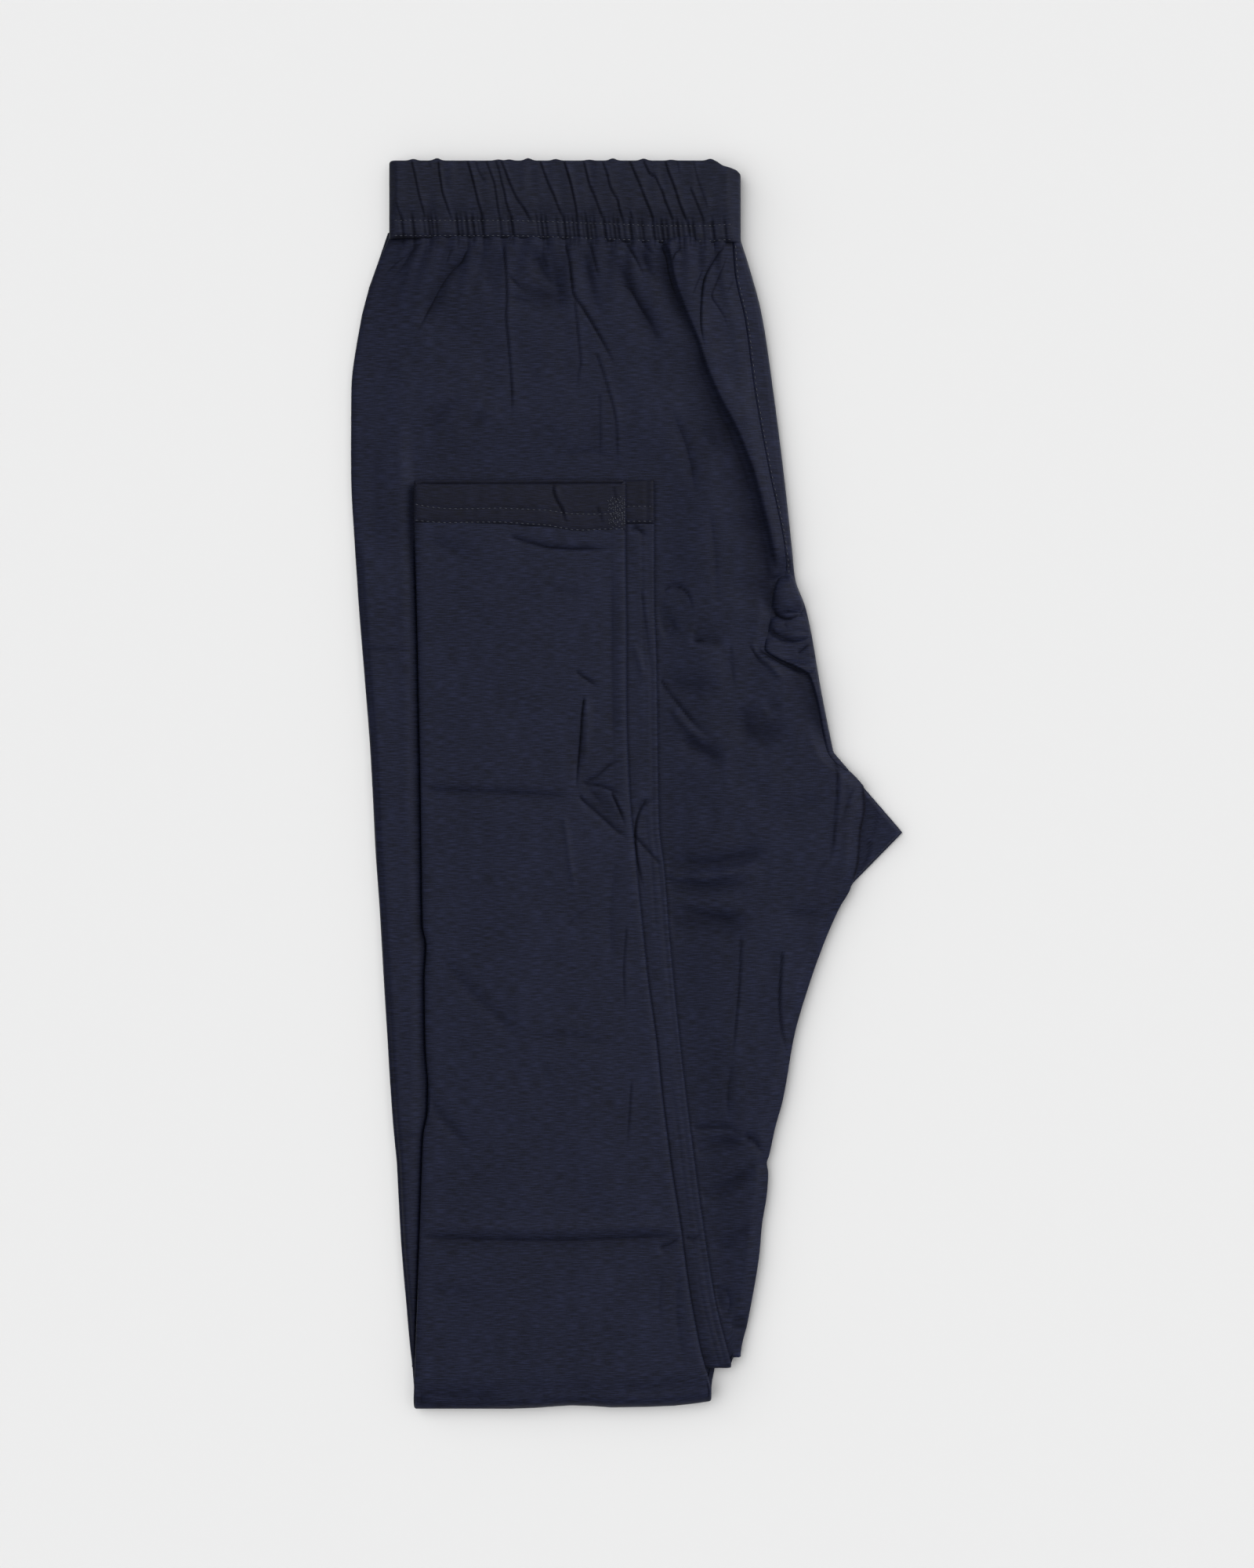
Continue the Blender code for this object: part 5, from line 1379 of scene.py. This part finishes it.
# %% Pleats of the casing
PLEATS = [Crease(*row) for row in [
    ([(-103.5, 264.8), (-102.5, 260.6), (-101.4, 256.2), (-100.0, 252.0), (-99.0, 248.6), (-98.3, 245.1),
      (-98.0, 240.6)], 0.9, 0.6, -0.7),
    ([(-94.5, 274.1), (-94.2, 273.1), (-93.1, 268.6), (-92.1, 263.8), (-91.1, 258.9), (-90.0, 254.8),
      (-89.0, 251.3), (-88.0, 247.9), (-86.2, 240.3)], 1.2, 0.7, -1),
    ([(-86.2, 250.3), (-85.2, 246.8), (-84.5, 243.4), (-84.2, 240.3)], 0.7, 0.6, -0.6),
    ([(-87.3, 274.1), (-86.6, 272.7), (-85.9, 271.3), (-85.2, 269.6)], 0.9, 0.7, -0.4),
    ([(-82.5, 274.1), (-82.5, 272.7), (-82.1, 268.6), (-81.4, 264.1), (-80.7, 259.6), (-79.3, 255.5),
      (-78.0, 251.7), (-75.9, 245.8)], 1.2, 0.7, -0.9),
    ([(-70.0, 274.1), (-69.3, 272.0), (-68.0, 267.5), (-66.9, 263.1), (-65.9, 258.9), (-64.9, 254.8),
      (-63.8, 251.3), (-62.4, 245.1)], 1.3, 0.8, -1.1),
    ([(-63.1, 251.3), (-62.1, 246.8), (-62.8, 241.7)], 0.7, 0.6, -0.5),
    ([(-66.2, 274.1), (-65.9, 272.7), (-64.9, 269.3), (-62.8, 265.5), (-60.7, 263.4)], 0.9, 0.7, -0.5),
    ([(-61.8, 274.1), (-60.7, 271.3), (-59.3, 267.5), (-58.0, 263.8), (-57.3, 259.6), (-56.2, 252.0),
      (-55.5, 247.2)], 1.1, 0.7, -0.8),
    ([(-57.6, 274.1), (-57.3, 273.4), (-55.9, 269.3), (-54.9, 264.8), (-53.5, 259.6), (-52.8, 255.5),
      (-51.7, 252.0), (-50.4, 247.5), (-49.7, 240.6)], 1.1, 0.7, -1),
    ([(-55.2, 274.1), (-54.9, 273.4), (-53.5, 270.0), (-51.7, 265.1), (-49.7, 260.3), (-47.6, 256.2),
      (-44.8, 252.4), (-41.4, 246.2)], 1.4, 0.8, -1.2),
    ([(-40.4, 251.3), (-39.0, 247.9), (-37.6, 244.4), (-36.6, 241.0)], 0.7, 0.6, -0.6),
    ([(-37.9, 274.1), (-37.6, 272.7), (-35.9, 267.9), (-34.2, 263.4), (-32.1, 258.9), (-30.4, 254.4),
      (-28.6, 250.3), (-26.9, 246.5)], 1.4, 0.8, -1.1),
    ([(-27.6, 274.1), (-26.9, 272.0), (-25.9, 268.6), (-24.5, 263.8), (-23.5, 259.6), (-22.8, 256.2),
      (-22.1, 252.7), (-21.4, 246.5)], 1.3, 0.8, -1.1),
    ([(-19.0, 274.1), (-18.6, 272.7), (-17.6, 268.6), (-16.2, 263.1), (-14.1, 258.2), (-12.4, 253.7),
      (-11.0, 250.0), (-9.7, 246.5)], 1.4, 0.8, -1),
    ([(-18.6, 252.0), (-17.6, 248.6), (-16.9, 244.4), (-17.2, 240.6)], 0.7, 0.6, -0.5),
    ([(-10.7, 274.1), (-9.7, 271.3), (-8.3, 267.2), (-7.2, 262.4), (-5.5, 258.9), (-3.8, 256.2),
      (-3.1, 252.7), (-1.0, 245.8)], 1.2, 0.8, -1),
    ([(1.0, 274.1), (2.1, 272.0), (3.8, 267.9), (5.9, 263.1), (7.6, 258.6), (9.3, 254.4), (11.0, 250.3),
      (12.4, 245.8)], 1.4, 0.8, -1.1),
    ([(1.4, 252.0), (2.8, 247.5), (3.4, 243.4), (4.5, 239.9)], 0.7, 0.6, -0.7),
    ([(7.2, 274.1), (8.6, 271.3), (10.3, 267.9), (12.8, 266.2), (14.1, 263.4), (15.9, 259.6),
      (17.2, 255.5), (19.0, 251.3), (21.0, 246.2)], 1.4, 0.8, -1.1),
    ([(16.9, 274.1), (17.6, 271.7), (18.6, 268.2), (20.4, 263.8), (22.1, 258.9), (23.5, 254.4),
      (25.2, 250.3), (27.3, 245.1)], 1.4, 0.8, -1.2),
    ([(22.1, 274.1), (22.8, 271.3), (23.1, 269.6), (23.8, 267.5)], 0.8, 0.7, -0.4),
    ([(27.9, 262.0), (29.3, 258.9), (30.7, 255.5), (32.1, 252.0), (33.5, 248.6), (34.8, 244.8)],
      1.2, 0.8, -0.9),
    ([(29.3, 274.1), (30.4, 269.3), (31.4, 265.1), (32.8, 261.3), (34.5, 256.5), (35.9, 252.0)],
      1.2, 1.2, -0.35),
    ([(43.5, 246.5), (43.8, 242.4), (43.5, 238.9)], 0.8, 0.7, -0.8),
]]
print(len(PLEATS), "pleats in the casing")

# %% The casing's sizes, stitch rows and relief
END_X = [38.0, 40.0, 41.3, 42.7, 45.0, 48.0, 49.6, 50.4]
END_DROP = [0.0, 0.5, 1.5, 2.3, 2.9, 3.9, 5.4, 8.0]
TOP_BUMPS = [-93.5, -83.1, -56.2, -51.4, -43.1, -31.0, -16.2, -5.9, 7.6, 19.7, 36.9]
BAND_LEFT = -104.2
BAND_RIGHT = 50.4
BAND_WALL = 2.5
BAND_PITCH = BAND_WALL + 0.3
BAND_COLUMNS = 370
HIDDEN_COLUMNS = 60
BAND_BUMPS = [Bumps(0.2, 3.2, 14.0, 41), Bumps(0.2, 8.0, 12.0, 42)]
ROW_LOW_Y = 240.9
ROW_PITCH = 6.6
ROW_TO_END = 1.0


def casing_row(x):
    """The lower of the two stitch rows, which sags slightly to the right."""
    return ROW_LOW_Y - 2.4 * smooth((x + 60.0) / 90.0) + 0.8 * smooth((x - 30.0) / 20.0)


def band_low(x):
    """The casing's lower edge, just under the lower stitch row."""
    return casing_row(x) - ROW_TO_END


def casing_lift(x, y):
    """Pleats above the stitches, tight gathers between them, and a groove at each row."""
    low = casing_row(x)
    above = smooth((y - low - ROW_PITCH) / 5.0)
    between = 1.0 - above
    swell = 1.1 * smooth((y - low - ROW_PITCH) / 9.0) * smooth((BAND_TOP - y) / 6.0)
    creased, hollow = crease_relief(PLEATS, x, y, 0.42, 1.2, 2.5)
    bowed = swell + creased * (0.35 + 0.65 * above)
    bowed += noise_layers(x, y, BAND_BUMPS)
    fade = smooth((low + ROW_PITCH + 6.0 - y) / 6.0)
    pulled = fade * ruche_height(x + 0.12 * (y - low)) * (0.35 + 0.65 * between)
    bowed += 0.9 * pulled
    for row in (low, low + ROW_PITCH):
        bowed -= 0.28 * bell(y - row, 0.7)
    ends = smooth((x - BAND_LEFT - 1.0) / 3.0) * smooth((BAND_RIGHT - 2.0 - x) / 5.0)
    height = bowed * ends + 0.25 * ends - 0.8 * ends * smooth((low + 1.0 - y) / 2.4)
    # Painted shade in the pleats and the tight gathers, and along the casing's lower edge below its lower stitch
    # row
    hollow = np.maximum(hollow * (0.35 + 0.65 * above), -0.8 * pulled)
    return height, ends * np.maximum(hollow, smooth((low + 0.1 - y) / 0.8))


def band_top(x, drop):
    """The casing's upper edge: small bumps, and at the right end the layers step down."""
    top = BAND_TOP - 0.5 - np.interp(x, END_X, END_DROP) - drop * smooth((x - 30.0) / 8.0)
    for count, place in enumerate(TOP_BUMPS):
        bump = 0.7 + 0.35 * math.sin(1.9 * count)
        top = top + bump * bell(x - place, 1.9) * (drop == 0.0)
    return top


# %% The casing as a ring
def make_casing():
    """Four flat layers joined at their ends. The visible one is first, with its columns closest together."""
    half = BAND_WALL / 2.0
    turn = BAND_PITCH / 2.0
    levels = [half + BAND_PITCH * count for count in range(4)]
    left = BAND_LEFT + half + turn
    right = BAND_RIGHT - half - 1.5 * BAND_PITCH
    middle = (levels[0] + levels[3]) / 2.0
    runs = [(0.0, level_run(left, right, levels[3], BAND_COLUMNS))]
    runs.append((0.0, half_turn(right, middle, 1.5 * BAND_PITCH, 90, -90, 14)))
    runs.append((0.5, level_run(right, left, levels[0], HIDDEN_COLUMNS)))
    runs.append((0.0, half_turn(left, (levels[0] + levels[1]) / 2, turn, -90, -270, TURN_STEPS)))
    runs.append((0.7, level_run(left, right, levels[1], HIDDEN_COLUMNS)))
    runs.append((0.7, half_turn(right, middle, turn, -90, 90, TURN_STEPS)))
    runs.append((0.7, level_run(right, left, levels[2], HIDDEN_COLUMNS)))
    runs.append((0.0, half_turn(left, (levels[2] + levels[3]) / 2, turn, -90, -270, TURN_STEPS)))
    loop = joined(runs)
    top = np.concatenate([band_top(run[0], drop) for drop, run in runs])
    low = band_low(loop[0])
    return make_ring("waist_casing", loop, low, top, BAND_WALL, 44, casing_lift)


casing = dress(make_casing(), casing_cloth, "casing_cloth", "waistband")

# %% [markdown]
# ## The cuffs
#
# Each ankle is hemmed: the cloth is turned up inside by 22 mm and held by a twin needle, which leaves two
# rows of stitches and a shallow groove under each. The right cuff's mouth shows, with its upper layer ending
# 2 mm short of the lower one. Left of the inseam the turned cloth has slipped into a sharp crease.

# %% Hem of a cuff
HEM_WALL = 1.2
RIGHT_CUFF_Z = (9.1, RIGHT_SHIN_Z + 0.1)
CUFF_MIDDLE = 124.0
HEM_TO_END = 1.1
HEM_BUMPS = [Bumps(0.14, 7.0, 9.0, 44), Bumps(0.07, 2.4, 8.0, 45)]
HEM_CREASES = [Crease(*row) for row in [
    ([(-32.1, 132.0), (-31.4, 127.1), (-29.7, 123.3), (-27.9, 120.2), (-26.6, 115.7), (-25.2, 112.6)],
      0.8, 1.1, -1.3),
    ([(-13.1, 122.6), (-11.7, 119.2), (-10.3, 115.1), (-10.0, 113.0)], 0.8, 0.8, -0.7),
    ([(-5.5, 131.3), (-4.8, 127.1), (-4.1, 122.6)], 0.8, 0.8, -0.5),
]]


# The two stitch rows of the right cuff wander as the sewing machine's operator fed the cloth
HEM_X = [-93.0, -86.0, -79.0, -68.0, -55.0, -34.0, -29.0, -24.0, -18.0, -10.0, -4.0, 2.0]
HEM_LOWER = [116.0, 115.2, 114.8, 115.0, 115.1, 113.7, 112.7, 111.8, 111.5, 112.0, 112.1, 112.1]
HEM_UPPER = [123.0, 121.7, 121.0, 120.9, 121.2, 120.2, 119.4, 118.7, 118.5, 118.6, 119.2, 119.4]


def hem_row(x):
    """The lower stitch row of the right cuff, which dips towards the inseam."""
    return np.interp(x, HEM_X, HEM_LOWER)


def upper_hem_row(x):
    """The upper stitch row of the right cuff."""
    return np.interp(x, HEM_X, HEM_UPPER)


def hem_low(x):
    """The cuff's lower end, just under its lower stitch row."""
    return hem_row(x) - HEM_TO_END


def hem_lift(x, y):
    """The right cuff's swell, stitch grooves and creases. Its lower end sinks into the leg."""
    left, right = read(RIGHT_SHIN, "left", y), read(RIGHT_SHIN, "right", y)
    mask = dome([x - left, right - x])
    edge = between_edges(x, left, right)
    height = SHIN_SWELL * mask * (0.35 + 0.65 * smooth((CUFF_TOP - y) / 10.0))
    for bumps in HEM_BUMPS:
        height += mask * bumps.height * soft_noise(x, y, bumps.size_x, bumps.size_y, bumps.seed)
    for row in (hem_row(x), upper_hem_row(x)):
        height -= 0.26 * edge * bell(y - row, 0.75)
    creased, hollow = crease_relief(HEM_CREASES, x, y, 0.6)
    height += edge * creased
    # Below the lower stitch row the cuff sinks into the leg, and shade is painted there
    below = smooth((hem_row(x) - 0.1 - y) / 1.0)
    return height - 0.75 * below, edge * np.maximum(hollow, 0.8 * below)


def make_cuff(name, table, heights, wall, short, low_edge, lift, counts):
    """A flat ring, open at its end. Its upper layer ends short of the lower one by that many mm."""
    low_z, high_z = heights
    radius = (high_z - low_z) / 2.0
    middle = (high_z + low_z) / 2.0
    left = read(table, "left", CUFF_MIDDLE) + wall / 2 + radius
    right = read(table, "right", CUFF_MIDDLE) - wall / 2 - radius
    runs = [(1.0, level_run(left, right, high_z, counts[0]))]
    runs.append((0.5, half_turn(right, middle, radius, 90, -90, TURN_STEPS)))
    runs.append((0.0, level_run(right, left, low_z, counts[1])))
    runs.append((0.3, half_turn(left, middle, radius, -90, -270, TURN_STEPS)))
    loop = joined(runs)
    share = np.concatenate([np.full(len(run[0]), value) for value, run in runs])
    top = CUFF_TOP - short * share + 0.25 * soft_noise(loop[0], loop[1], 16.0, 4.0, 47)
    return make_ring(name, loop, low_edge(loop[0]), top, wall, 30, lift)


right_cuff = make_cuff(
    "right_cuff", RIGHT_SHIN, RIGHT_CUFF_Z, HEM_WALL, 2.0, hem_low, hem_lift, (124, 40)
)
dress(right_cuff, hem_cloth, "hem_cloth", "hem_right")

# %% The left cuff
LEFT_ROWS = (122.2, 115.6)
LEFT_HEM_WALL = 1.1
LEFT_CUFF_Z = (6.25, LEFT_SHIN_Z + 0.05)


def left_cuff_low(x):
    return 0.0 * x + LEFT_ROWS[1] - HEM_TO_END


def left_cuff_lift(x, y):
    """Only a narrow end of the left cuff shows: its swell, its two grooves and its allowance lines."""
    right = read(LEFT_SHIN, "right", y)
    height = 0.12 * soft_noise(x, y, 5.0, 9.0, 48)
    for row in LEFT_ROWS:
        height = height - 0.24 * bell(y - row, 0.75)
    height -= 0.3 * bell(x - right + 3.4, 0.7)
    height *= smooth((right - x) / 1.8)
    # Below the lower stitch row the cuff sinks into the leg, and shade is painted there
    below = smooth((LEFT_ROWS[1] - 0.1 - y) / 1.0)
    return height - 0.6 * below, 0.8 * below


left_cuff = make_cuff(
    "left_cuff", LEFT_SHIN, LEFT_CUFF_Z, LEFT_HEM_WALL, 0.6, left_cuff_low, left_cuff_lift, (116, 30)
)
dress(left_cuff, hem_cloth, "hem_cloth", "hem_left")

# %% [markdown]
# ## Stitches
#
# A stitch is a short loop of thread pressed into the cloth, mostly 2.3 to 2.6 mm from hole to hole.
# Hundreds of them follow a few lines, which is what Geometry Nodes do best: the tree resamples a line at the
# stitch length, turns one small bead of thread along it at each point, and makes the copies real. The same
# tree serves every row, with its sizes as named inputs.

# %% Thread
THREAD, thread_tree, thread_shader = new_material("navy_thread")
thread_shader.inputs["Roughness"].default_value = 0.45
thread_shader.inputs["Specular IOR Level"].default_value = 0.4
thread_place = thread_tree.nodes.new("ShaderNodeTexCoord")
thread_noise = thread_tree.nodes.new("ShaderNodeTexNoise")
thread_noise.inputs["Scale"].default_value = 900.0
link(thread_tree, thread_place.outputs["Object"], thread_noise.inputs["Vector"])
thread_tones = ((0.013, 0.015, 0.026), (0.032, 0.036, 0.056))
thread_colour = colour_mix(thread_tree, thread_noise.outputs["Fac"], *thread_tones)
link(thread_tree, thread_colour, thread_shader.inputs["Base Color"])

# %% The stitch tree
BEAD_SEGMENTS = 6
BEAD_RINGS = 4


def named_input(tree, name, kind, value):
    """A named number on the tree's own list of inputs."""
    socket = tree.interface.new_socket(name=name, in_out="INPUT", socket_type=kind)
    socket.default_value = value
    return socket.identifier


def stitch_tree():
    """Resample the line, put one bead at each point, turn it along the line, and make it real."""
    tree = bpy.data.node_groups.new("Stitches", "GeometryNodeTree")
    tree.interface.new_socket(name="Line", in_out="INPUT", socket_type="NodeSocketGeometry")
    inputs = {"pitch": named_input(tree, "Pitch", "NodeSocketFloat", 2.2 * MM)}
    inputs["size"] = named_input(tree, "Stitch Size", "NodeSocketVector", (0.9 * MM, 0.3 * MM, 0.2 * MM))
    inputs["jitter"] = named_input(tree, "Turn Jitter", "NodeSocketFloat", 0.12)
    inputs["seed"] = named_input(tree, "Seed", "NodeSocketInt", 7)
    tree.interface.new_socket(name="Stitches", in_out="OUTPUT", socket_type="NodeSocketGeometry")
    nodes = tree.nodes
    group_in = nodes.new("NodeGroupInput")
    group_out = nodes.new("NodeGroupOutput")
    to_curve = nodes.new("GeometryNodeMeshToCurve")
    to_points = nodes.new("GeometryNodeCurveToPoints")
    to_points.mode = "LENGTH"
    align = nodes.new("FunctionNodeAlignRotationToVector")
    align.axis = "X"
    turn = nodes.new("FunctionNodeRotateRotation")
    turn.rotation_space = "LOCAL"
    random_turn = nodes.new("FunctionNodeRandomValue")
    random_turn.data_type = "FLOAT"
    negative = nodes.new("ShaderNodeMath")
    negative.operation = "MULTIPLY"
    negative.inputs[1].default_value = -1.0
    euler = nodes.new("FunctionNodeEulerToRotation")
    combine = nodes.new("ShaderNodeCombineXYZ")
    bead = nodes.new("GeometryNodeMeshUVSphere")
    bead.inputs["Segments"].default_value = BEAD_SEGMENTS
    bead.inputs["Rings"].default_value = BEAD_RINGS
    bead.inputs["Radius"].default_value = 1.0
    instances = nodes.new("GeometryNodeInstanceOnPoints")
    realize = nodes.new("GeometryNodeRealizeInstances")
    finish = nodes.new("GeometryNodeSetMaterial")
    finish.inputs["Material"].default_value = THREAD
    link(tree, group_in.outputs["Line"], to_curve.inputs["Mesh"])
    link(tree, to_curve.outputs["Curve"], to_points.inputs["Curve"])
    link(tree, group_in.outputs["Pitch"], to_points.inputs["Length"])
    link(tree, to_points.outputs["Tangent"], align.inputs["Vector"])
    link(tree, group_in.outputs["Turn Jitter"], negative.inputs[0])
    link(tree, negative.outputs[0], random_turn.inputs[2])
    link(tree, group_in.outputs["Turn Jitter"], random_turn.inputs[3])
    link(tree, group_in.outputs["Seed"], random_turn.inputs["Seed"])
    link(tree, random_turn.outputs[1], combine.inputs["Z"])
    link(tree, combine.outputs[0], euler.inputs[0])
    link(tree, align.outputs[0], turn.inputs["Rotation"])
    link(tree, euler.outputs[0], turn.inputs["Rotate By"])
    link(tree, to_points.outputs["Points"], instances.inputs["Points"])
    link(tree, bead.outputs["Mesh"], instances.inputs["Instance"])
    link(tree, turn.outputs[0], instances.inputs["Rotation"])
    link(tree, group_in.outputs["Stitch Size"], instances.inputs["Scale"])
    link(tree, instances.outputs["Instances"], realize.inputs["Geometry"])
    link(tree, realize.outputs["Geometry"], finish.inputs["Geometry"])
    link(tree, finish.outputs["Geometry"], group_out.inputs["Stitches"])
    return tree, inputs


STITCHES, STITCH_INPUTS = stitch_tree()


# %% Rows of stitches as meshes
def stitch_rows(name, lines, pitch, size, jitter=0.12, seed=7):
    """Stitches along lines of points in mm, as one plain mesh."""
    mesh = bpy.data.meshes.new(name)
    points = np.concatenate(lines)
    edges = []
    start = 0
    for line in lines:
        edges += [(start + k, start + k + 1) for k in range(len(line) - 1)]
        start += len(line)
    mesh.from_pydata((points * MM).tolist(), edges, [])
    obj = bpy.data.objects.new(name, mesh)
    bpy.context.scene.collection.objects.link(obj)
    modifier = obj.modifiers.new("Stitches", "NODES")
    modifier.node_group = STITCHES
    modifier[STITCH_INPUTS["pitch"]] = pitch * MM
    modifier[STITCH_INPUTS["size"]] = [side * MM for side in size]
    modifier[STITCH_INPUTS["jitter"]] = jitter
    modifier[STITCH_INPUTS["seed"]] = seed
    applied(obj)
    obj.data.shade_smooth()
    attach(obj, "root")
    print(name, "has", len(obj.data.polygons) // (BEAD_SEGMENTS * BEAD_RINGS), "stitches")
    return obj


# %% [markdown]
# ## Where the stitches run
#
# Two rows hold the casing's elastic, two rows hem each cuff, and one row topstitches the centre seam. Each
# line is worked out from the same functions as the cloth under it, so the thread lies in its groove.

# %% Rows on the casing and the cuffs
THREAD_ABOVE = 0.12
LINE_STEP = 0.6


def on_cloth(x, y, face, lift):
    """A line just above a piece's outer face, which lies at the height face and is raised by lift(x, y)."""
    return np.stack([x, y, face + lift(x, y)[0] + THREAD_ABOVE], axis=-1)


casing_face = BAND_WALL / 2.0 + 3 * BAND_PITCH + BAND_WALL / 2.0
casing_x = np.arange(BAND_LEFT + 3.0, BAND_RIGHT - 5.0, LINE_STEP)
casing_rows = (casing_row(casing_x), casing_row(casing_x) + ROW_PITCH)
casing_lines = [on_cloth(casing_x, row, casing_face, casing_lift) for row in casing_rows]
casing_stitches = stitch_rows("casing_stitches", casing_lines, 2.3, (0.75, 0.24, 0.2), jitter=0.2, seed=3)

right_face = RIGHT_CUFF_Z[1] + HEM_WALL / 2.0
cuff_x = np.arange(-92.0, -1.4, LINE_STEP)
cuff_rows = (hem_row(cuff_x), upper_hem_row(cuff_x))
cuff_lines = [on_cloth(cuff_x, row, right_face, hem_lift) for row in cuff_rows]
right_stitches = stitch_rows("right_cuff_stitches", cuff_lines, 2.4, (0.8, 0.24, 0.2), seed=4)

left_face = LEFT_CUFF_Z[1] + LEFT_HEM_WALL / 2.0
left_x = np.arange(-88.0, 10.6, LINE_STEP)
left_lines = [on_cloth(left_x, 0.0 * left_x + row, left_face, left_cuff_lift) for row in LEFT_ROWS]
left_stitches = stitch_rows("left_cuff_stitches", left_lines, 2.4, (0.8, 0.24, 0.2), seed=5)

# %% The topstitching of the centre seam
SEAM_TO_STITCH = 1.3
seam_y = np.arange(236.0, 93.0, -0.8)
seam_x = read(CENTRE_SEAM, "right", seam_y) + SEAM_TO_STITCH
seam_line = on_cloth(seam_x, seam_y, EDGE_Z + CLOTH / 2.0, edge_relief)
seam_stitches = stitch_rows("centre_seam_stitches", [seam_line], 2.6, (0.8, 0.24, 0.2), jitter=0.15, seed=6)

# %% The overlocked end of the inseam in the cuff
TANGLE_LINES = 13
tangle_lines = []
for count in range(TANGLE_LINES):
    start_y = 125.0 - 0.9 * count
    xs = np.linspace(-8.0 + 2.2 * math.sin(0.9 * count) ** 2, -0.9, 10)
    ys = start_y + 1.3 * np.sin(xs * 1.9 + 2.4 * count)
    tangle_lines.append(on_cloth(xs, ys, right_face, hem_lift))
tangle = stitch_rows("inseam_overlock", tangle_lines, 1.6, (0.6, 0.2, 0.17), jitter=1.4, seed=9)

# %% [markdown]
# ## Cloth that keeps its size
#
# The flat area that the pieces of cloth were cut to is worked out here. The parts of the legs are no
# rectangles, so their areas follow from the outlines above. The inner layers count as a slightly narrower
# right leg.

SQUARE_METRE = 1e6
AREA_SAMPLES = 400
TURN_DOWN = 4.0


def width_area(width, start, end):
    """Area in square metres under a width that changes along y."""
    ys = np.linspace(start, end, AREA_SAMPLES)
    return float(np.mean(width(ys)) * abs(end - start)) / SQUARE_METRE


top_area = width_area(lambda y: front_right(y) - body_left(y), SPLIT, PANEL_TOP)
thigh_area = width_area(lambda y: front_right(y) - body_left(y), LEFT_FOLD, SPLIT)
lower_area = width_area(lambda y: read(LEFT_SHIN, "right", y) - read(LEFT_SHIN, "left", y), -255.0, 115.0)
floor_area = width_area(lambda y: body_right(y) - body_left(y), RIGHT_FOLD, PANEL_TOP)
shin_area = width_area(lambda y: read(RIGHT_SHIN, "right", y) - read(RIGHT_SHIN, "left", y), -269.0, 115.0)
right_area = floor_area + shin_area


def edge_width(y):
    """How wide the rolled front edge is, with its turn down to the table."""
    return body_right(y) - read(CENTRE_SEAM, "right", y) + TURN_DOWN


edge_area = width_area(edge_width, SEAM_END, PANEL_TOP)
cut_areas = [round(area, 4) for area in (top_area + thigh_area, right_area, lower_area)]
print("cut areas in square metres", *cut_areas)

# %% [markdown]
# ## Table, light and camera
#
# The picture was taken from straight above under large soft lights. The creases are lit from the right, and
# the shadow on the table falls to the right as well, so no single light gives both. A white surround and a
# ceiling light reach everything. One window lights the cloth alone and the other the table alone, each a sun
# with a wide disc, by light linking: a collection per window names the table and says whether it is lit. The
# camera is a long lens, so the sides of the pile hardly show.

# %% The table
TABLE_HALF = 3.0
TABLE_BELOW = 0.2
table_mesh = bpy.data.meshes.new("table")
table_corners = [(-TABLE_HALF, -TABLE_HALF), (TABLE_HALF, -TABLE_HALF)]
table_corners += [(TABLE_HALF, TABLE_HALF), (-TABLE_HALF, TABLE_HALF)]
table_mesh.from_pydata([(x, y, -TABLE_BELOW * MM) for x, y in table_corners], [], [(0, 1, 2, 3)])
table = bpy.data.objects.new("table", table_mesh)
bpy.context.scene.collection.objects.link(table)
table_finish, _, table_shader = new_material("pale_table")
table_shader.inputs["Base Color"].default_value = (0.86, 0.86, 0.86, 1.0)
table_shader.inputs["Roughness"].default_value = 1.0
table_shader.inputs["Specular IOR Level"].default_value = 0.0
table_mesh.materials.append(table_finish)

# %% The light
SURROUND = 0.3

# A window's width, its height over the table and the side it is on, counted from the right, are in degrees
Window = namedtuple("Window", "name strength width height side table_state")
WINDOWS = [
    Window("window_right", 2.1, 46.0, 39.0, 30.0, "EXCLUDE"),
    Window("window_left", 1.70, 80.0, 44.0, 166.0, "INCLUDE"),
    Window("ceiling", 1.0, 70.0, 80.0, 100.0, None),
]
scene = bpy.context.scene
scene.view_settings.view_transform = "Standard"
world = bpy.data.worlds.new("studio")
world.use_nodes = True
background = world.node_tree.nodes["Background"]
background.inputs["Color"].default_value = (1.0, 1.0, 1.0, 1.0)
background.inputs["Strength"].default_value = SURROUND
scene.world = world
for window in WINDOWS:
    sun_data = bpy.data.lights.new(window.name, "SUN")
    sun_data.energy = window.strength
    sun_data.angle = math.radians(window.width)
    sun = bpy.data.objects.new(window.name, sun_data)
    sun.rotation_euler = (0.0, math.radians(90.0 - window.height), math.radians(window.side))
    scene.collection.objects.link(sun)
    if window.table_state:
        lit = bpy.data.collections.new(window.name + "_table")
        lit.objects.link(table)
        lit.collection_objects[0].light_linking.link_state = window.table_state
        sun.light_linking.receiver_collection = lit

# %% The camera
FRAME_HEIGHT = 690.0
LENS = 100.0
SENSOR = 36.0
CLOTH_HEIGHT = 6.0
CAMERA_X = 0.345
CAMERA_Y = 0.17
camera_data = bpy.data.cameras.new("camera")
camera_data.sensor_width = SENSOR
camera_data.lens = LENS
camera = bpy.data.objects.new("camera", camera_data)
camera_height = FRAME_HEIGHT * LENS / SENSOR + CLOTH_HEIGHT
camera.location = (CAMERA_X * MM, CAMERA_Y * MM, camera_height * MM)
scene.collection.objects.link(camera)
scene.camera = camera
